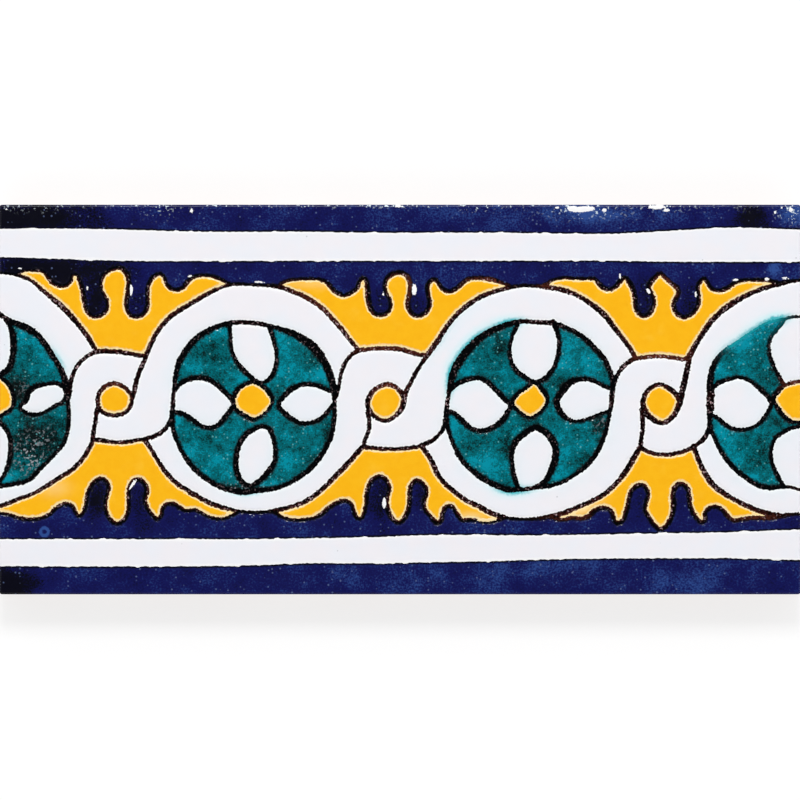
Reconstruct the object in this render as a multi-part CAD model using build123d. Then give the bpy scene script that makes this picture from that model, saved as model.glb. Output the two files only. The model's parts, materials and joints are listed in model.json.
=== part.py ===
from build123d import *
import math
import os

# Border tile of pressed earthenware, lying on its back with the glazed face up.
# The origin is the middle of the back, +Z goes up through the face, and X runs along the
# border. All sizes are in millimetres and all angles in degrees.

# The finished tile, glaze included
length = 200.0
width = 97.25
thickness = 10.0

# The moulded edges. The corner radius is that of the flat back, where the outline is smallest:
# the chamfer and the lean of the sides widen it on the way up to the face.
side_draft = 1.5
corner_radius = 0.1
arris_radius = 0.5
back_chamfer = 0.3

# The keyed back: a grid of shallow pockets inside a plain rim, for the adhesive to grip
rim = 6.0
rib = 3.0
pocket_side = 16.0
pocket_depth = 1.2
pocket_draft = 25.0
pocket_corner_radius = 1.5


def drawn_side(side):
    """The sharp-edged side to draw on the face plane, so that the tile is this long once
    the arris has rounded its drafted edge."""
    draft = math.radians(side_draft)
    return side + 2 * arris_radius * (math.tan(draft) + 1 / math.cos(draft) - 1)


def back_inset():
    """How far the lean of a side and the back chamfer set the flat of the back in."""
    return thickness * math.tan(math.radians(side_draft)) + back_chamfer


def flat_back_side(side):
    """What is left flat of a side on the back."""
    return drawn_side(side) - 2 * back_inset()


def pocket_row(side):
    """How many pockets fit along a side of the back, and how long each one is."""
    room = flat_back_side(side) - 2 * rim
    count = max(1, round((room + rib) / (pocket_side + rib)))
    return count, (room + rib) / count - rib


def pressed_body():
    """The plain body: drafted sides, a soft arris round the face, a trimmed back."""
    with BuildPart() as body:
        with BuildSketch(Plane.XY.offset(thickness)):
            RectangleRounded(drawn_side(length), drawn_side(width), corner_radius + back_inset())
        extrude(amount=-thickness, taper=side_draft)
        face = body.faces().sort_by(Axis.Z)[-1]
        fillet(face.edges(), arris_radius)
        back = body.faces().sort_by(Axis.Z)[0]
        chamfer(back.edges(), back_chamfer)
    return body.part


def key_punch():
    """The grid of drafted studs that presses the pockets into the back."""
    columns, pocket_length = pocket_row(length)
    rows, pocket_width = pocket_row(width)
    with BuildPart() as punch:
        with BuildSketch(Plane.XY):
            with GridLocations(pocket_length + rib, pocket_width + rib, columns, rows):
                RectangleRounded(pocket_length, pocket_width, pocket_corner_radius)
        extrude(amount=pocket_depth, taper=pocket_draft)
    return punch.part


tile = pressed_body() - key_punch()

os.makedirs("parts", exist_ok=True)
export_step(tile, "parts/border_tile.step")
print("border_tile:", len(tile.solids()), "solid,", round(tile.volume), "mm3")
print("pockets in the back:", pocket_row(length)[0], "by", pocket_row(width)[0])
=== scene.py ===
"""The looks of a border tile in the dry line technique: matt resist lines, trailed by hand, that keep
pools of white, amber, copper green and cobalt glaze apart on a pressed earthenware body."""
import json
import logging
import math
from dataclasses import dataclass, field
from enum import Enum
from typing import Callable

import bpy
import numpy as np
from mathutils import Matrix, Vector
from mathutils.geometry import delaunay_2d_cdt
from mathutils.kdtree import KDTree

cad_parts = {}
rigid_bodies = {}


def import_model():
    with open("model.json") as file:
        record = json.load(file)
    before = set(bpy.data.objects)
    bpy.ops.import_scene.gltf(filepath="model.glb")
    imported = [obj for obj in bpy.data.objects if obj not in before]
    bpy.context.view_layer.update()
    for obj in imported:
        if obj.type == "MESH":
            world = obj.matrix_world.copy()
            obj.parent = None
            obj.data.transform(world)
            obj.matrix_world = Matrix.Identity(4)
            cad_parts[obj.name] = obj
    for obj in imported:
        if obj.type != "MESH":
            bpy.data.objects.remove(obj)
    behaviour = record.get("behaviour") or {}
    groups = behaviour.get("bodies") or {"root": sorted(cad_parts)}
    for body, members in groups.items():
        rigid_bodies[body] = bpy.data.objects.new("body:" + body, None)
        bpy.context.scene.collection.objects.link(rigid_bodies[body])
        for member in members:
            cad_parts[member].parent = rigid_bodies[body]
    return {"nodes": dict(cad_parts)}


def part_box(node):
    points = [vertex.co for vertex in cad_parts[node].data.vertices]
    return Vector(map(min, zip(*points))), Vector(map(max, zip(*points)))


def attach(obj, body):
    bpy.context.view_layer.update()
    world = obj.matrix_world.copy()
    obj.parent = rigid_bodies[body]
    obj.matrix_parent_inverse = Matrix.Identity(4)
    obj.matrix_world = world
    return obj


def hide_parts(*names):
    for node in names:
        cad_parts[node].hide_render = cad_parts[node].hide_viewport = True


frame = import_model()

log = logging.getLogger("border_tile")

# The painter's paper is squared, four squares to a millimetre. The tile's left end is at column 0,
# the middle of its width is at row 399, and the rows count downwards.
SQUARE_MM = 0.25
MIDDLE_COLUMN = 400.0
MIDDLE_ROW = 399.0
METRES_PER_MM = 0.001

# The triangulation's setting that fills the whole hull of the points
WHOLE_HULL = 0

# Edges that fold more than this stay sharp, in degrees
SHARP_ANGLE = 50.0

Point = tuple[float, float]
Dab = tuple[float, float, float]
Loop = np.ndarray


class Glaze(Enum):
    """The four glazes that fill the cells of the drawing."""

    WHITE = "white_glaze"
    AMBER = "amber_glaze"
    GREEN = "copper_green_glaze"
    COBALT = "cobalt_glaze"


@dataclass(frozen=True)
class Stroke:
    """One trailed resist line, as column, row and width in squares of the paper."""

    dabs: tuple[Dab, ...]
    closed: bool = False

    def line(self, spacing: float = 0.4) -> np.ndarray:
        """Follow the stroke smoothly through its dabs.

        Args:
            spacing: The distance between two steps of the line, in millimetres.

        Returns:
            Rows of x, y and width in millimetres on the tile.
        """
        column, row, width = np.array(self.dabs, dtype=float).T
        points = np.column_stack([*on_tile(column, row), width * SQUARE_MM])
        return smooth_line(points, self.closed, spacing)


def on_tile(column: float | np.ndarray, row: float | np.ndarray) -> tuple:
    """Give the place on the tile, in millimetres, of columns and rows of the squared paper."""
    return (column - MIDDLE_COLUMN) * SQUARE_MM, (MIDDLE_ROW - row) * SQUARE_MM


def smooth_line(points: np.ndarray, closed: bool, spacing: float) -> np.ndarray:
    """Run a centripetal Catmull-Rom spline through points.

    Args:
        points: Rows whose first two columns are x and y.
        closed: Whether the last point joins the first.
        spacing: The distance between two steps of the line.

    Returns:
        The points along the line, with the other columns carried along.
    """
    if closed:
        padded = np.vstack([points[-1], points, points[0], points[1]])
    else:
        first = 2 * points[0] - points[1]
        last = 2 * points[-1] - points[-2]
        padded = np.vstack([first, points, last])
    steps = []
    for before, start, end, after in zip(padded, padded[1:], padded[2:], padded[3:]):
        knots = np.cumsum([0.0] + [
            math.sqrt(math.hypot(*(b - a)[:2])) + 1e-6
            for a, b in ((before, start), (start, end), (end, after))
        ])
        count = max(1, round(math.hypot(*(end - start)[:2]) / spacing))
        for t in np.linspace(knots[1], knots[2], count, endpoint=False):
            a1 = before + (start - before) * (t - knots[0]) / (knots[1] - knots[0])
            a2 = start + (end - start) * (t - knots[1]) / (knots[2] - knots[1])
            a3 = end + (after - end) * (t - knots[2]) / (knots[3] - knots[2])
            b1 = a1 + (a2 - a1) * (t - knots[0]) / (knots[2] - knots[0])
            b2 = a2 + (a3 - a2) * (t - knots[1]) / (knots[3] - knots[1])
            steps.append(b1 + (b2 - b1) * (t - knots[1]) / (knots[2] - knots[1]))
    steps.append(points[0] if closed else points[-1])
    return np.array(steps)


@dataclass(frozen=True)
class Drawing:
    """The hand-trailed drawing: every resist line of the border, from left to right."""

    ring_tops: tuple[Stroke, ...] = (
        Stroke(((-2, 273, 3), (10, 273.5, 3), (20, 275.5, 3.5), (31, 280, 4), (41, 288, 4.5),
                (51, 296.5, 5), (61, 305, 6), (70.5, 314.5, 6), (80, 325.5, 5), (89, 337.5, 5),
                (96.5, 350.5, 5))),
        Stroke(((146, 356, 5), (152.5, 341, 5), (159, 329.5, 5), (168, 319, 5), (179, 310.5, 5),
                (190, 304, 5), (201, 297.5, 5), (211, 292, 4.5), (221, 287.5, 4), (232, 284.3, 3.5),
                (245, 284.3, 3), (258, 285, 3), (270, 285.6, 3.5), (281, 287, 5), (292, 291, 5),
                (303, 295.5, 5), (313, 301, 5), (323, 308.5, 5), (333, 319, 5), (343, 330.5, 5),
                (351, 341, 4.5), (359, 350, 4.5))),
        Stroke(((428, 354, 5.5), (438, 340, 5.5), (446, 327.5, 5), (455, 316, 5), (466, 306, 5.5),
                (478, 298, 5), (489, 293, 5), (500, 289.7, 4.5), (512, 287, 4), (524, 285.6, 3),
                (536, 286, 3.5), (548, 287.3, 5), (560, 289, 5.5), (571, 292.5, 5), (583, 298.5, 5),
                (594, 306, 5.5), (604, 314.5, 6), (613, 326, 5.5), (622, 337.5, 5), (630, 348.5, 5),
                (635, 357, 5))),
        Stroke(((687.5, 359, 6), (693, 348, 6), (699.5, 337.5, 5.5), (707, 326, 6), (716, 315.5, 6),
                (726, 307, 6), (737, 299.8, 6), (748, 294, 5), (759, 289.3, 5), (770, 286, 5),
                (781, 283.3, 5), (791, 281, 3.5), (802, 280, 3))),
    )
    ring_bottoms: tuple[Stroke, ...] = (
        Stroke(((-2, 506, 4.5), (10, 502, 4.5), (20, 498, 4.5), (30, 494.5, 4.5), (40, 489.5, 4.5),
                (50, 483.5, 5), (60, 477, 5), (70, 471, 5), (79, 463, 5), (86, 454, 5),
                (92, 443, 5))),
        Stroke(((146, 440, 5), (152, 449.5, 4.5), (159, 461, 4.5), (167, 472.5, 5), (177, 482.5, 5),
                (189, 490.5, 5), (201, 497.5, 5), (213, 503.5, 5), (226, 507.5, 4.5), (239, 510.3, 3),
                (252, 511.3, 3), (265, 511, 3), (278, 509.3, 4.5), (290, 506.5, 4.5), (302, 502.5, 5),
                (313, 496, 5), (324, 487, 5), (335, 476, 5.5), (345, 466, 5.5), (354, 456, 5.5),
                (362.5, 446.5, 5))),
        Stroke(((422, 446.5, 5.5), (428, 454.5, 5), (432.8, 463, 5.5), (437.5, 473.5, 5.5),
                (444.5, 482.5, 5), (452.5, 489.5, 5), (464.3, 498.6, 5), (480, 506.5, 5.5),
                (490, 512, 5.5), (501, 515.8, 5),
                (513, 517.7, 3), (527, 518.2, 3), (540, 517.2, 3.5), (552, 515, 5), (563, 512.5, 5.5),
                (575, 507.5, 5), (588, 502, 5), (600, 496, 5), (610, 488.5, 5), (619, 479, 5.5),
                (627, 468.5, 6), (634, 456.5, 6), (640, 446.5, 5.5))),
        Stroke(((693, 445.5, 5), (696.5, 455, 5.5), (700.5, 465, 5.5), (706.5, 476, 6), (714.5, 486, 6),
                (724, 493, 5.5), (735, 499.5, 5), (746, 505, 5.5), (758, 510, 5.5), (770, 513.3, 5.5),
                (781, 514.8, 4.5), (791, 513.3, 3), (802, 513, 3))),
    )
    links: tuple[Stroke, ...] = (
        # The left link: its upper edge, its lower edge, and the twist on each side of the eye
        Stroke(((146, 355.5, 5), (139, 355, 4.5), (128, 352.8, 5), (112, 351, 5), (97, 351.5, 5),
                (88, 355.5, 4.5), (80, 362.5, 4.5), (75, 370.5, 4.5), (72, 379, 5), (70.5, 389, 5),
                (69, 397, 5))),
        Stroke(((93, 439.5, 5), (100, 439.5, 5), (110, 441, 4.5), (120, 442, 4.5), (130, 441, 4.5),
                (138, 439.5, 4.5), (145, 438.5, 4.5), (152, 436.5, 5), (160, 433, 5), (166, 428, 4.5),
                (170, 421, 4), (172, 413, 4), (173.5, 405, 4.5))),
        Stroke(((146, 357, 5), (143.5, 363, 5), (140, 371, 5), (137, 380, 5), (135, 389, 5),
                (133, 397, 5))),
        Stroke(((97.5, 409, 5), (96.3, 418, 4.5), (94.7, 428, 4.5), (93.3, 438, 5))),
        # The middle link
        Stroke(((427, 355, 5), (419, 354.3, 5), (410, 351.7, 5), (400, 348.8, 5), (389, 348, 4.5),
                (378, 347.8, 4.5), (368, 349, 4.5), (359, 350, 5), (351.5, 354.5, 4.5), (346, 361, 4.5),
                (342.5, 369, 4.5), (340.3, 377, 4), (339, 386, 4), (336, 396, 4.5))),
        Stroke(((363, 446.5, 5), (372, 447.5, 4.5), (384, 448.3, 4.5), (396, 448.5, 4), (408, 447.5, 4.5),
                (418, 446, 4.5), (425, 443.5, 5), (432, 440, 5), (438, 435, 4.5), (443, 428.5, 4.5),
                (445, 420, 4.5), (446, 411, 4.5), (447.3, 402, 4.5), (449, 393, 4.5))),
        Stroke(((426.5, 356, 5), (421.5, 363, 4.5), (416.5, 371, 5), (411.8, 380, 4.5), (407.5, 388, 5),
                (404.5, 396, 5.5))),
        Stroke(((368, 412, 5.5), (369.5, 421, 4.5), (368.5, 431, 4.5), (365.3, 439, 4.5),
                (363.3, 446, 4.5))),
        # The right link, whose twist is the boldest
        Stroke(((688, 358.5, 5.5), (680, 358.5, 4.5), (670, 356.7, 4.5), (660, 355.8, 4.5),
                (650, 356.3, 4.5), (641, 357.3, 4.5), (634.5, 358.5, 5), (628.5, 361.5, 5),
                (623, 366, 5), (618, 372.5, 4.5), (615, 379.5, 4.5), (613, 387, 4.5), (611, 397, 5.5))),
        Stroke(((639.5, 447, 5), (648, 451, 4.5), (656, 453.5, 4.5), (664, 454.2, 4.5), (672, 453.7, 4.5),
                (681, 451.5, 4.5), (689, 448.3, 4.5), (696, 444.5, 4.5), (702, 439.3, 5), (706, 434, 5),
                (708.5, 427, 4.5), (709.3, 418, 5), (710, 408, 7.5), (710, 396, 8))),
        Stroke(((688.5, 359, 6), (687, 367, 6), (685, 376, 6.5), (683.3, 384, 6.5), (681.5, 392, 6.5),
                (680, 400, 6.5), (677, 408, 6))),
        Stroke(((641.8, 409, 6), (642.3, 418, 5), (642.3, 428, 4.5), (641, 438, 4.5), (639.8, 446.5, 5))),
    )
    eyes: tuple[Stroke, ...] = (
        Stroke(((114, 383, 5), (125, 387, 4.5), (132, 396, 4.5), (129, 409, 4.5), (116, 415, 4.5),
                (102.5, 411, 4.5), (98, 400, 4.8), (103, 388, 5)), closed=True),
        Stroke(((388, 383.8, 5), (398, 388.5, 5), (404, 398, 6.5), (399, 412, 5), (386, 420.3, 4.5),
                (373, 414.5, 5), (367.7, 403, 5.5), (373, 390.5, 5)), closed=True),
        Stroke(((659, 384, 4.5), (669.5, 388.5, 5), (678.5, 399, 5.5), (674, 414, 5.5), (662, 422.5, 5),
                (648.5, 415.5, 6), (642.5, 402, 5.5), (648, 389.5, 5)), closed=True),
    )
    discs: tuple[Stroke, ...] = (
        Stroke(((-2, 312, 5), (8.6, 319.4, 5), (17.4, 323.2, 6), (27.2, 327.3, 7), (37.1, 333.7, 6),
                (45, 342.5, 6), (51.8, 353, 5.5), (58.7, 363.7, 5.5), (64.1, 374.5, 6), (67, 386, 8),
                (68, 398, 5), (69.5, 410, 4), (69.7, 421, 4), (68, 433, 4), (64.5, 443, 4), (57, 452, 4),
                (49, 460.5, 4), (41, 468, 4.5), (33, 477, 4.5), (25, 481.5, 4.5), (12, 484, 4.5),
                (-2, 486.5, 4))),
        Stroke(((240, 322, 5), (224.3, 324, 5), (210.5, 329, 5.5), (198.6, 336.3, 6), (188, 347.6, 6.5),
                (180.5, 359.5, 6), (176.4, 371.4, 5), (175, 385, 5), (173.5, 399, 4.5), (172.5, 413, 5),
                (173, 427, 4.5), (177, 440, 4), (183, 452.5, 4.5), (190, 463, 5), (200, 473.5, 5),
                (212, 482, 5), (226, 488.5, 5), (241, 491.5, 6), (256, 490, 6), (270, 489, 4.5),
                (284, 485, 4.5), (296.3, 478.7, 4.5), (308, 470.3, 5), (318, 460, 5), (326.7, 446.2, 5),
                (332.2, 433.5, 4.5), (334.5, 418.7, 4.5), (334.5, 404, 4.5), (334, 392, 5), (332, 379, 7),
                (325, 362, 7.5), (316, 349, 9), (303, 338.5, 8), (288, 331, 6), (272, 326, 4.5),
                (256, 323, 5)), closed=True),
        Stroke(((521, 321, 5), (509, 323.5, 5.5), (499, 327, 6), (489, 331.5, 6.5), (479, 338, 7),
                (470, 347, 8), (461, 358, 8.5), (454.5, 369, 8), (451, 380, 7), (449, 391, 5),
                (447.5, 401, 4.5), (446.5, 412, 5), (446.8, 423, 4.5), (449.5, 434, 4), (454, 446, 4),
                (461, 458.5, 5), (470, 468.5, 5), (481, 477, 6), (494, 484, 6), (508, 489, 6),
                (521, 489, 4.5), (536, 487, 4.5), (551, 485, 4.5), (564, 480.5, 4), (575, 474, 4),
                (587, 464.5, 5), (596, 453, 4.5), (602.5, 440, 4.5), (606.5, 428, 4), (609, 415, 4),
                (611, 402, 5.5), (612, 390, 5.5), (612, 378, 5), (608, 366, 5), (602, 356, 5.5),
                (592, 345, 5.5), (580, 334.5, 5), (568, 328, 4.5), (554, 323, 5.5), (538, 322, 5)),
               closed=True),
        Stroke(((802, 316, 3), (790, 317, 3.5), (781, 319.5, 4), (773, 320.5, 2.6), (763, 324, 2.6),
                (753, 330, 2.6), (744, 336, 2.8), (736, 342, 3.4), (728, 347, 4), (721, 353, 4.5),
                (715, 361, 5), (711, 371, 6), (709.5, 382, 7), (710, 394, 8), (709.8, 406, 8),
                (709, 418, 5), (710.5, 429, 4.5), (715, 440, 4.5), (720, 450, 4.5), (727, 460.5, 5),
                (736, 470, 5), (747, 478.5, 5), (758, 485, 5), (769, 487.5, 5), (780, 486.5, 4),
                (790, 486.5, 3.5), (802, 490, 3.5))),
    )
    petals: tuple[Stroke, ...] = (
        # The half rosette that the tile's left end cuts
        Stroke(((46, 384, 4), (57, 383, 4), (64.5, 387.5, 4), (66.5, 394, 4), (63.5, 401, 4),
                (55, 405.5, 4), (45, 411.5, 3.5), (35, 414, 4), (26, 411.5, 4), (21, 406.5, 4),
                (27, 400, 5), (29, 392, 6), (36, 386.5, 5)), closed=True),
        Stroke(((3, 315, 4), (10, 325, 5), (13.5, 336, 6.5), (14, 348, 6.5), (12.5, 359, 6),
                (9, 368, 6), (-2, 376, 5))),
        Stroke(((-2, 419, 4), (6.5, 429, 5), (10.8, 438, 5), (11, 449, 5), (10, 459, 5),
                (7, 468.5, 4.5), (3, 477, 4), (-2, 484, 4))),
        # The second rosette
        Stroke(((230.5, 324, 4.5), (231, 338, 4), (232, 349, 4), (237, 361, 4), (244, 369.5, 5),
                (252, 377, 4.5), (260, 382, 4), (266.5, 380.5, 4), (272.5, 374.5, 5), (275.7, 366, 4.5),
                (276.5, 355, 4), (274.5, 343, 4), (271, 331, 4.5), (268.5, 325, 4))),
        Stroke(((175, 391, 4), (179.5, 384.5, 4.5), (188, 379.5, 5), (198, 377.5, 5), (208, 379, 5),
                (216, 383.5, 5), (223, 390, 5), (229.5, 396.5, 5), (234, 403, 4.5), (231, 409, 5),
                (226, 415.5, 5), (220, 423, 5), (211, 427, 4.5), (201, 425, 4.5), (192, 418.5, 5),
                (184, 413.5, 5), (174, 411, 4.5))),
        Stroke(((333, 392, 4), (324, 388, 4.5), (316, 385, 4.5), (306, 384, 4.5), (297, 386, 5),
                (289, 391, 5.5), (282, 398.5, 5), (279, 405, 4.5), (284, 411.5, 5), (292, 418, 5),
                (301, 422.5, 4.5), (311, 422, 4), (320, 418.5, 4.5), (328, 411, 4.5), (334, 403, 4.5))),
        Stroke(((262, 426, 4.5), (269, 428.5, 4.5), (273, 437, 4.5), (275.5, 449, 4.5), (274.5, 461, 5),
                (268.5, 471, 6), (261, 479, 5.5), (251, 485, 5), (243.5, 482, 5), (237.5, 472, 5.5),
                (236.5, 459, 5.5), (239, 446, 5), (246, 434.5, 5.5), (254, 429, 5)), closed=True),
        # The third rosette
        Stroke(((519, 322, 4), (514.5, 331, 4), (510.8, 341, 3.5), (509.8, 352, 3.8), (511.5, 362, 4),
                (516.5, 370, 5), (524, 376, 5), (533, 381, 4.5), (542, 379.5, 5), (550, 372.5, 5),
                (555.5, 362, 4.5), (558.5, 350, 4.5), (558.5, 339, 4.5), (556, 329, 5),
                (552.5, 321, 5))),
        Stroke(((449, 391, 4), (454, 386, 5), (462, 381, 5), (471, 378.5, 4.5), (480, 378, 4.5),
                (488, 382.5, 5), (495.5, 389.5, 5), (503, 397.5, 5.5), (510, 405, 4.5), (507, 412.5, 5),
                (501, 421, 6), (491, 427.5, 5.5), (480, 430, 4.5), (470, 427, 5), (461, 419, 5.5),
                (453, 412, 4.5), (445.5, 410.5, 4))),
        Stroke(((612, 389, 4), (604, 386, 4.5), (595, 381.5, 4), (586, 378.8, 4.5), (577, 379.5, 5),
                (569, 383, 7), (562, 391, 7), (556.5, 401, 6), (559.5, 410, 6), (566, 417.5, 5),
                (575, 420.8, 3.5), (585, 419, 3.5), (596, 415, 3.5), (609.5, 410, 3.5))),
        Stroke(((535, 427, 6), (544, 431, 6.5), (551.5, 439, 7), (555.5, 450, 7), (554, 461, 7),
                (550, 471.5, 6), (544, 481, 5.5), (533, 487, 4), (520, 488, 4), (515, 478, 5),
                (512.5, 466, 4.5), (511.5, 453, 5), (515.5, 442, 6), (524, 433.5, 6)), closed=True),
        # The half rosette that the tile's right end cuts
        Stroke(((783, 320, 4.5), (777, 329, 3.5), (771, 336, 3.5), (768.5, 345, 3.5), (769.5, 355, 3.5),
                (773, 365, 4), (778, 375, 4), (783, 384, 5))),
        Stroke(((712, 388, 4), (718, 382.5, 5), (727, 379.5, 4), (736, 377, 3.5), (745, 378.5, 3.5),
                (753, 383.5, 4), (761, 390, 4.5), (768, 397.5, 5), (770.5, 404, 4.5), (767, 411, 4),
                (763, 418, 4), (757, 424, 4), (748, 428, 3.5), (739, 429, 4), (730, 427, 4),
                (722, 421.5, 4.5), (716, 416.5, 4), (710, 414, 4))),
        Stroke(((802, 425, 4), (790, 428, 4), (782, 432.5, 4), (775, 437.5, 4), (771.5, 446, 3.5),
                (770.5, 456, 4), (773, 466, 4), (777.5, 475.5, 4.5), (783, 486, 4.5))),
    )
    hearts: tuple[Stroke, ...] = (
        Stroke(((-2, 374, 4), (7, 382, 4.5), (12.5, 390, 5), (14.5, 399, 4.5), (12.5, 407.5, 4),
                (6, 412.5, 4), (-2, 416.5, 4))),
        Stroke(((253, 381.5, 4), (261, 384.5, 4.5), (268, 391, 5), (272.5, 399, 4), (269, 408, 3),
                (262, 415, 3), (253, 418.5, 4), (244, 414.5, 4.5), (236.5, 409, 4.5), (233.5, 400, 4.5),
                (237.5, 390, 4.5), (245, 384, 4)), closed=True),
        Stroke(((534, 381.5, 4.5), (541, 388, 5), (547, 399, 4), (543.5, 408, 3.5), (537, 414, 3.5),
                (529.5, 417, 3.5), (519, 411, 3.5), (512, 402.5, 4.5), (517, 394, 4), (526, 387.5, 4)),
               closed=True),
        Stroke(((802, 381, 4), (792, 382, 4.5), (784, 385, 4.5), (777, 391.5, 5), (772.5, 398, 5),
                (777, 407, 4.5), (783, 415, 4.5), (790, 420.5, 4), (802, 422, 3.5))),
    )
    crowns: tuple[Stroke, ...] = (
        # The fingered edges of the three upper crowns
        Stroke(((17, 274, 3), (25, 270.5, 3), (34, 270.3, 3.5), (43, 271, 3.5), (48, 276, 4.5),
                (53, 282.5, 4.5), (60, 285.5, 4), (67, 285, 4), (71.5, 280.5, 3.5), (73, 275, 3),
                (76.5, 274.5, 3), (80, 281, 4), (83, 290, 4.5), (84.5, 300, 4.5), (86.5, 309, 4),
                (91, 315, 4), (97, 316.5, 4), (103, 314, 4), (107.5, 308.5, 4), (108, 301.5, 3.5),
                (104.5, 294.5, 3.5), (101.8, 287, 3.5), (102.5, 278.5, 4), (107, 272, 4),
                (114, 268.7, 4), (121, 268, 4.5), (126.5, 273, 4.5), (129, 281, 5), (128.5, 291, 5),
                (126.8, 300, 4.5), (127, 308.5, 4), (130.5, 314.5, 4), (137, 316.8, 4),
                (143.5, 314.5, 4), (147.5, 308.5, 4.5), (148.3, 299, 4), (148.2, 290, 4),
                (150, 282.5, 4), (154, 276.5, 4), (160, 273.8, 4), (164, 276.5, 3.5), (166, 282, 3.5),
                (170, 287.5, 4), (177, 289.8, 4), (184, 287, 4), (188.5, 281.5, 4.5), (194, 277, 4),
                (202, 275.3, 3.5), (211, 275.8, 3.5), (219, 278.5, 3.5), (229, 283.5, 3.5))),
        Stroke(((278, 285.5, 3), (286, 281, 3), (296, 279.3, 3), (308, 278.8, 3), (319, 279.2, 3),
                (327, 282.5, 4), (332, 288.5, 4.5), (337.5, 293, 4.5), (344, 295.3, 4), (351, 293, 4),
                (357, 288, 4), (360, 281.5, 3), (362.5, 277.3, 3), (365.5, 279, 3.5), (367, 287, 5),
                (368, 297, 5.5), (370, 307, 5), (374.5, 313.5, 4), (381.5, 315, 4), (388, 312, 4),
                (391, 305.5, 3.5), (389.5, 298, 3.5), (386, 291.5, 4), (385, 284.5, 4),
                (388, 277.5, 4.5), (394, 273.5, 4.5), (401, 272.5, 4.5), (407, 276, 4.5),
                (410, 283.5, 5), (409.5, 293, 5), (407.5, 302, 4.5), (409.5, 310.5, 4.5),
                (414.5, 315.3, 4), (421, 315.2, 4), (427, 311, 4.5), (429.8, 303, 4.5),
                (428.5, 294.5, 4), (427.5, 287, 4.5), (430.5, 281, 4.5), (435, 279, 3.5),
                (438.5, 283.5, 4), (442.5, 289, 4), (449.5, 291.5, 4), (457, 288, 4), (463.5, 282, 4),
                (470, 278.5, 4), (480, 278, 4), (491, 279.5, 4.5), (501, 282.5, 3.5), (513, 287, 3))),
        Stroke(((543, 286, 4), (553, 280, 3), (563, 278, 3), (575, 278.5, 3), (586, 278.8, 3),
                (594, 279, 3.5), (598, 283, 4.5), (602.5, 287.5, 4.5), (609, 289.5, 4),
                (615.5, 286.5, 4.5), (620, 281, 4.5), (624, 277.5, 3.5), (628, 281, 4.5),
                (632, 288.5, 5), (634.5, 298, 5), (635, 307, 4.5), (638, 313, 4.5), (643, 316, 4),
                (648.5, 314, 4.5), (652.5, 308, 4), (654, 300, 4), (651.5, 293, 4), (648.5, 287, 4.5),
                (651.5, 281, 5), (656, 276, 4.5), (660, 273.5, 3.5), (665, 278, 4), (671, 283.5, 4),
                (676.5, 288, 5), (677, 295, 4.5), (673.5, 301, 4.5), (673.5, 308, 4.5), (677, 314, 4.5),
                (682.5, 317, 4), (689, 315.5, 4), (694.5, 311, 4), (698, 304, 4.5), (698.5, 295, 4),
                (697.5, 287, 4), (700, 281, 4), (703.5, 278.5, 3.5), (706.5, 282, 3.5),
                (710, 287.5, 4), (717, 290.5, 4), (725, 289, 4), (732, 284.5, 4), (739, 281, 3.5),
                (748, 280, 3.5), (757, 280, 3.5), (766, 280, 4), (776, 282.5, 4))),
        # And of the three lower crowns
        Stroke(((-2, 511.5, 3), (9, 513.5, 3), (20, 517, 3.5), (30, 518.5, 3.5), (41, 517.2, 3.5),
                (50, 513.5, 3.5), (56, 507.5, 4), (62, 504, 4), (68, 503, 4), (73.5, 506, 4),
                (76.5, 512, 3.5), (79.5, 515, 3), (83.5, 512, 3.5), (86, 504, 4), (87.5, 494.5, 4),
                (91, 486, 4), (96, 480, 4), (102, 477.8, 4), (107.5, 481, 4), (109.5, 487.5, 4),
                (107.5, 495.5, 4), (106, 504, 4), (107.5, 512.5, 4), (112, 520, 4), (118, 522.7, 4),
                (124, 519.5, 4), (128, 512, 4), (129, 502, 4), (128.8, 492, 4), (130.5, 484.5, 4.5),
                (135, 479.5, 4.5), (140.5, 479, 4.5), (145.5, 483, 4.5), (147.5, 490, 5),
                (145.5, 498, 4.5), (147, 505.5, 4), (151.5, 512.5, 4), (157.5, 518, 4),
                (161.5, 515, 3.5), (162.5, 508, 4), (167, 503.5, 4), (173.5, 502.8, 4), (180, 506.5, 4),
                (187, 509.8, 3.5), (195, 509, 3.5), (202, 512, 3.5), (210, 516.2, 3), (219, 518, 3),
                (228, 516.5, 3), (238, 511, 3))),
        Stroke(((274, 511, 3), (282, 516, 3), (292, 518.7, 3), (303, 518.8, 3), (314, 517, 3.5),
                (322.5, 512.5, 4.5), (329, 506.5, 4.5), (336.5, 502.3, 4), (345, 499.8, 4),
                (351.5, 503, 4), (354, 510, 4), (357, 517, 4), (361, 517.3, 3.5), (364.3, 511, 4),
                (366, 501, 4), (367, 491, 4.5), (370, 482, 4.5), (375.5, 476.8, 4.5),
                (381.5, 475.8, 4.5), (387, 480.5, 4.5), (389.8, 488, 4.5), (387.5, 496.5, 4.5),
                (386.8, 505, 5), (390, 513.5, 5), (395, 520.5, 4.5), (399.5, 521.5, 4),
                (405, 516, 4.5), (408.5, 507, 4.5), (409.3, 497, 4.5), (410, 487.5, 4.5),
                (413.5, 481, 4.5), (418.5, 480, 4), (424.5, 484.5, 4), (427, 491.5, 4),
                (424.5, 500, 4), (425, 508.5, 4), (430.5, 515.5, 4), (437, 522, 4.5),
                (441, 519.5, 4.5), (442.5, 511.5, 4.5), (446.5, 505.8, 4.5), (452, 505.8, 4.5),
                (456.5, 512, 4.5), (461.5, 518.8, 4), (469, 519, 4), (477, 519.5, 3.5),
                (486, 521.3, 3), (495, 520, 3), (505, 516.5, 3))),
        Stroke(((550, 516, 4), (562, 519, 3.5), (572, 517, 4), (582, 517.5, 4), (589, 515, 4.5),
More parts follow.
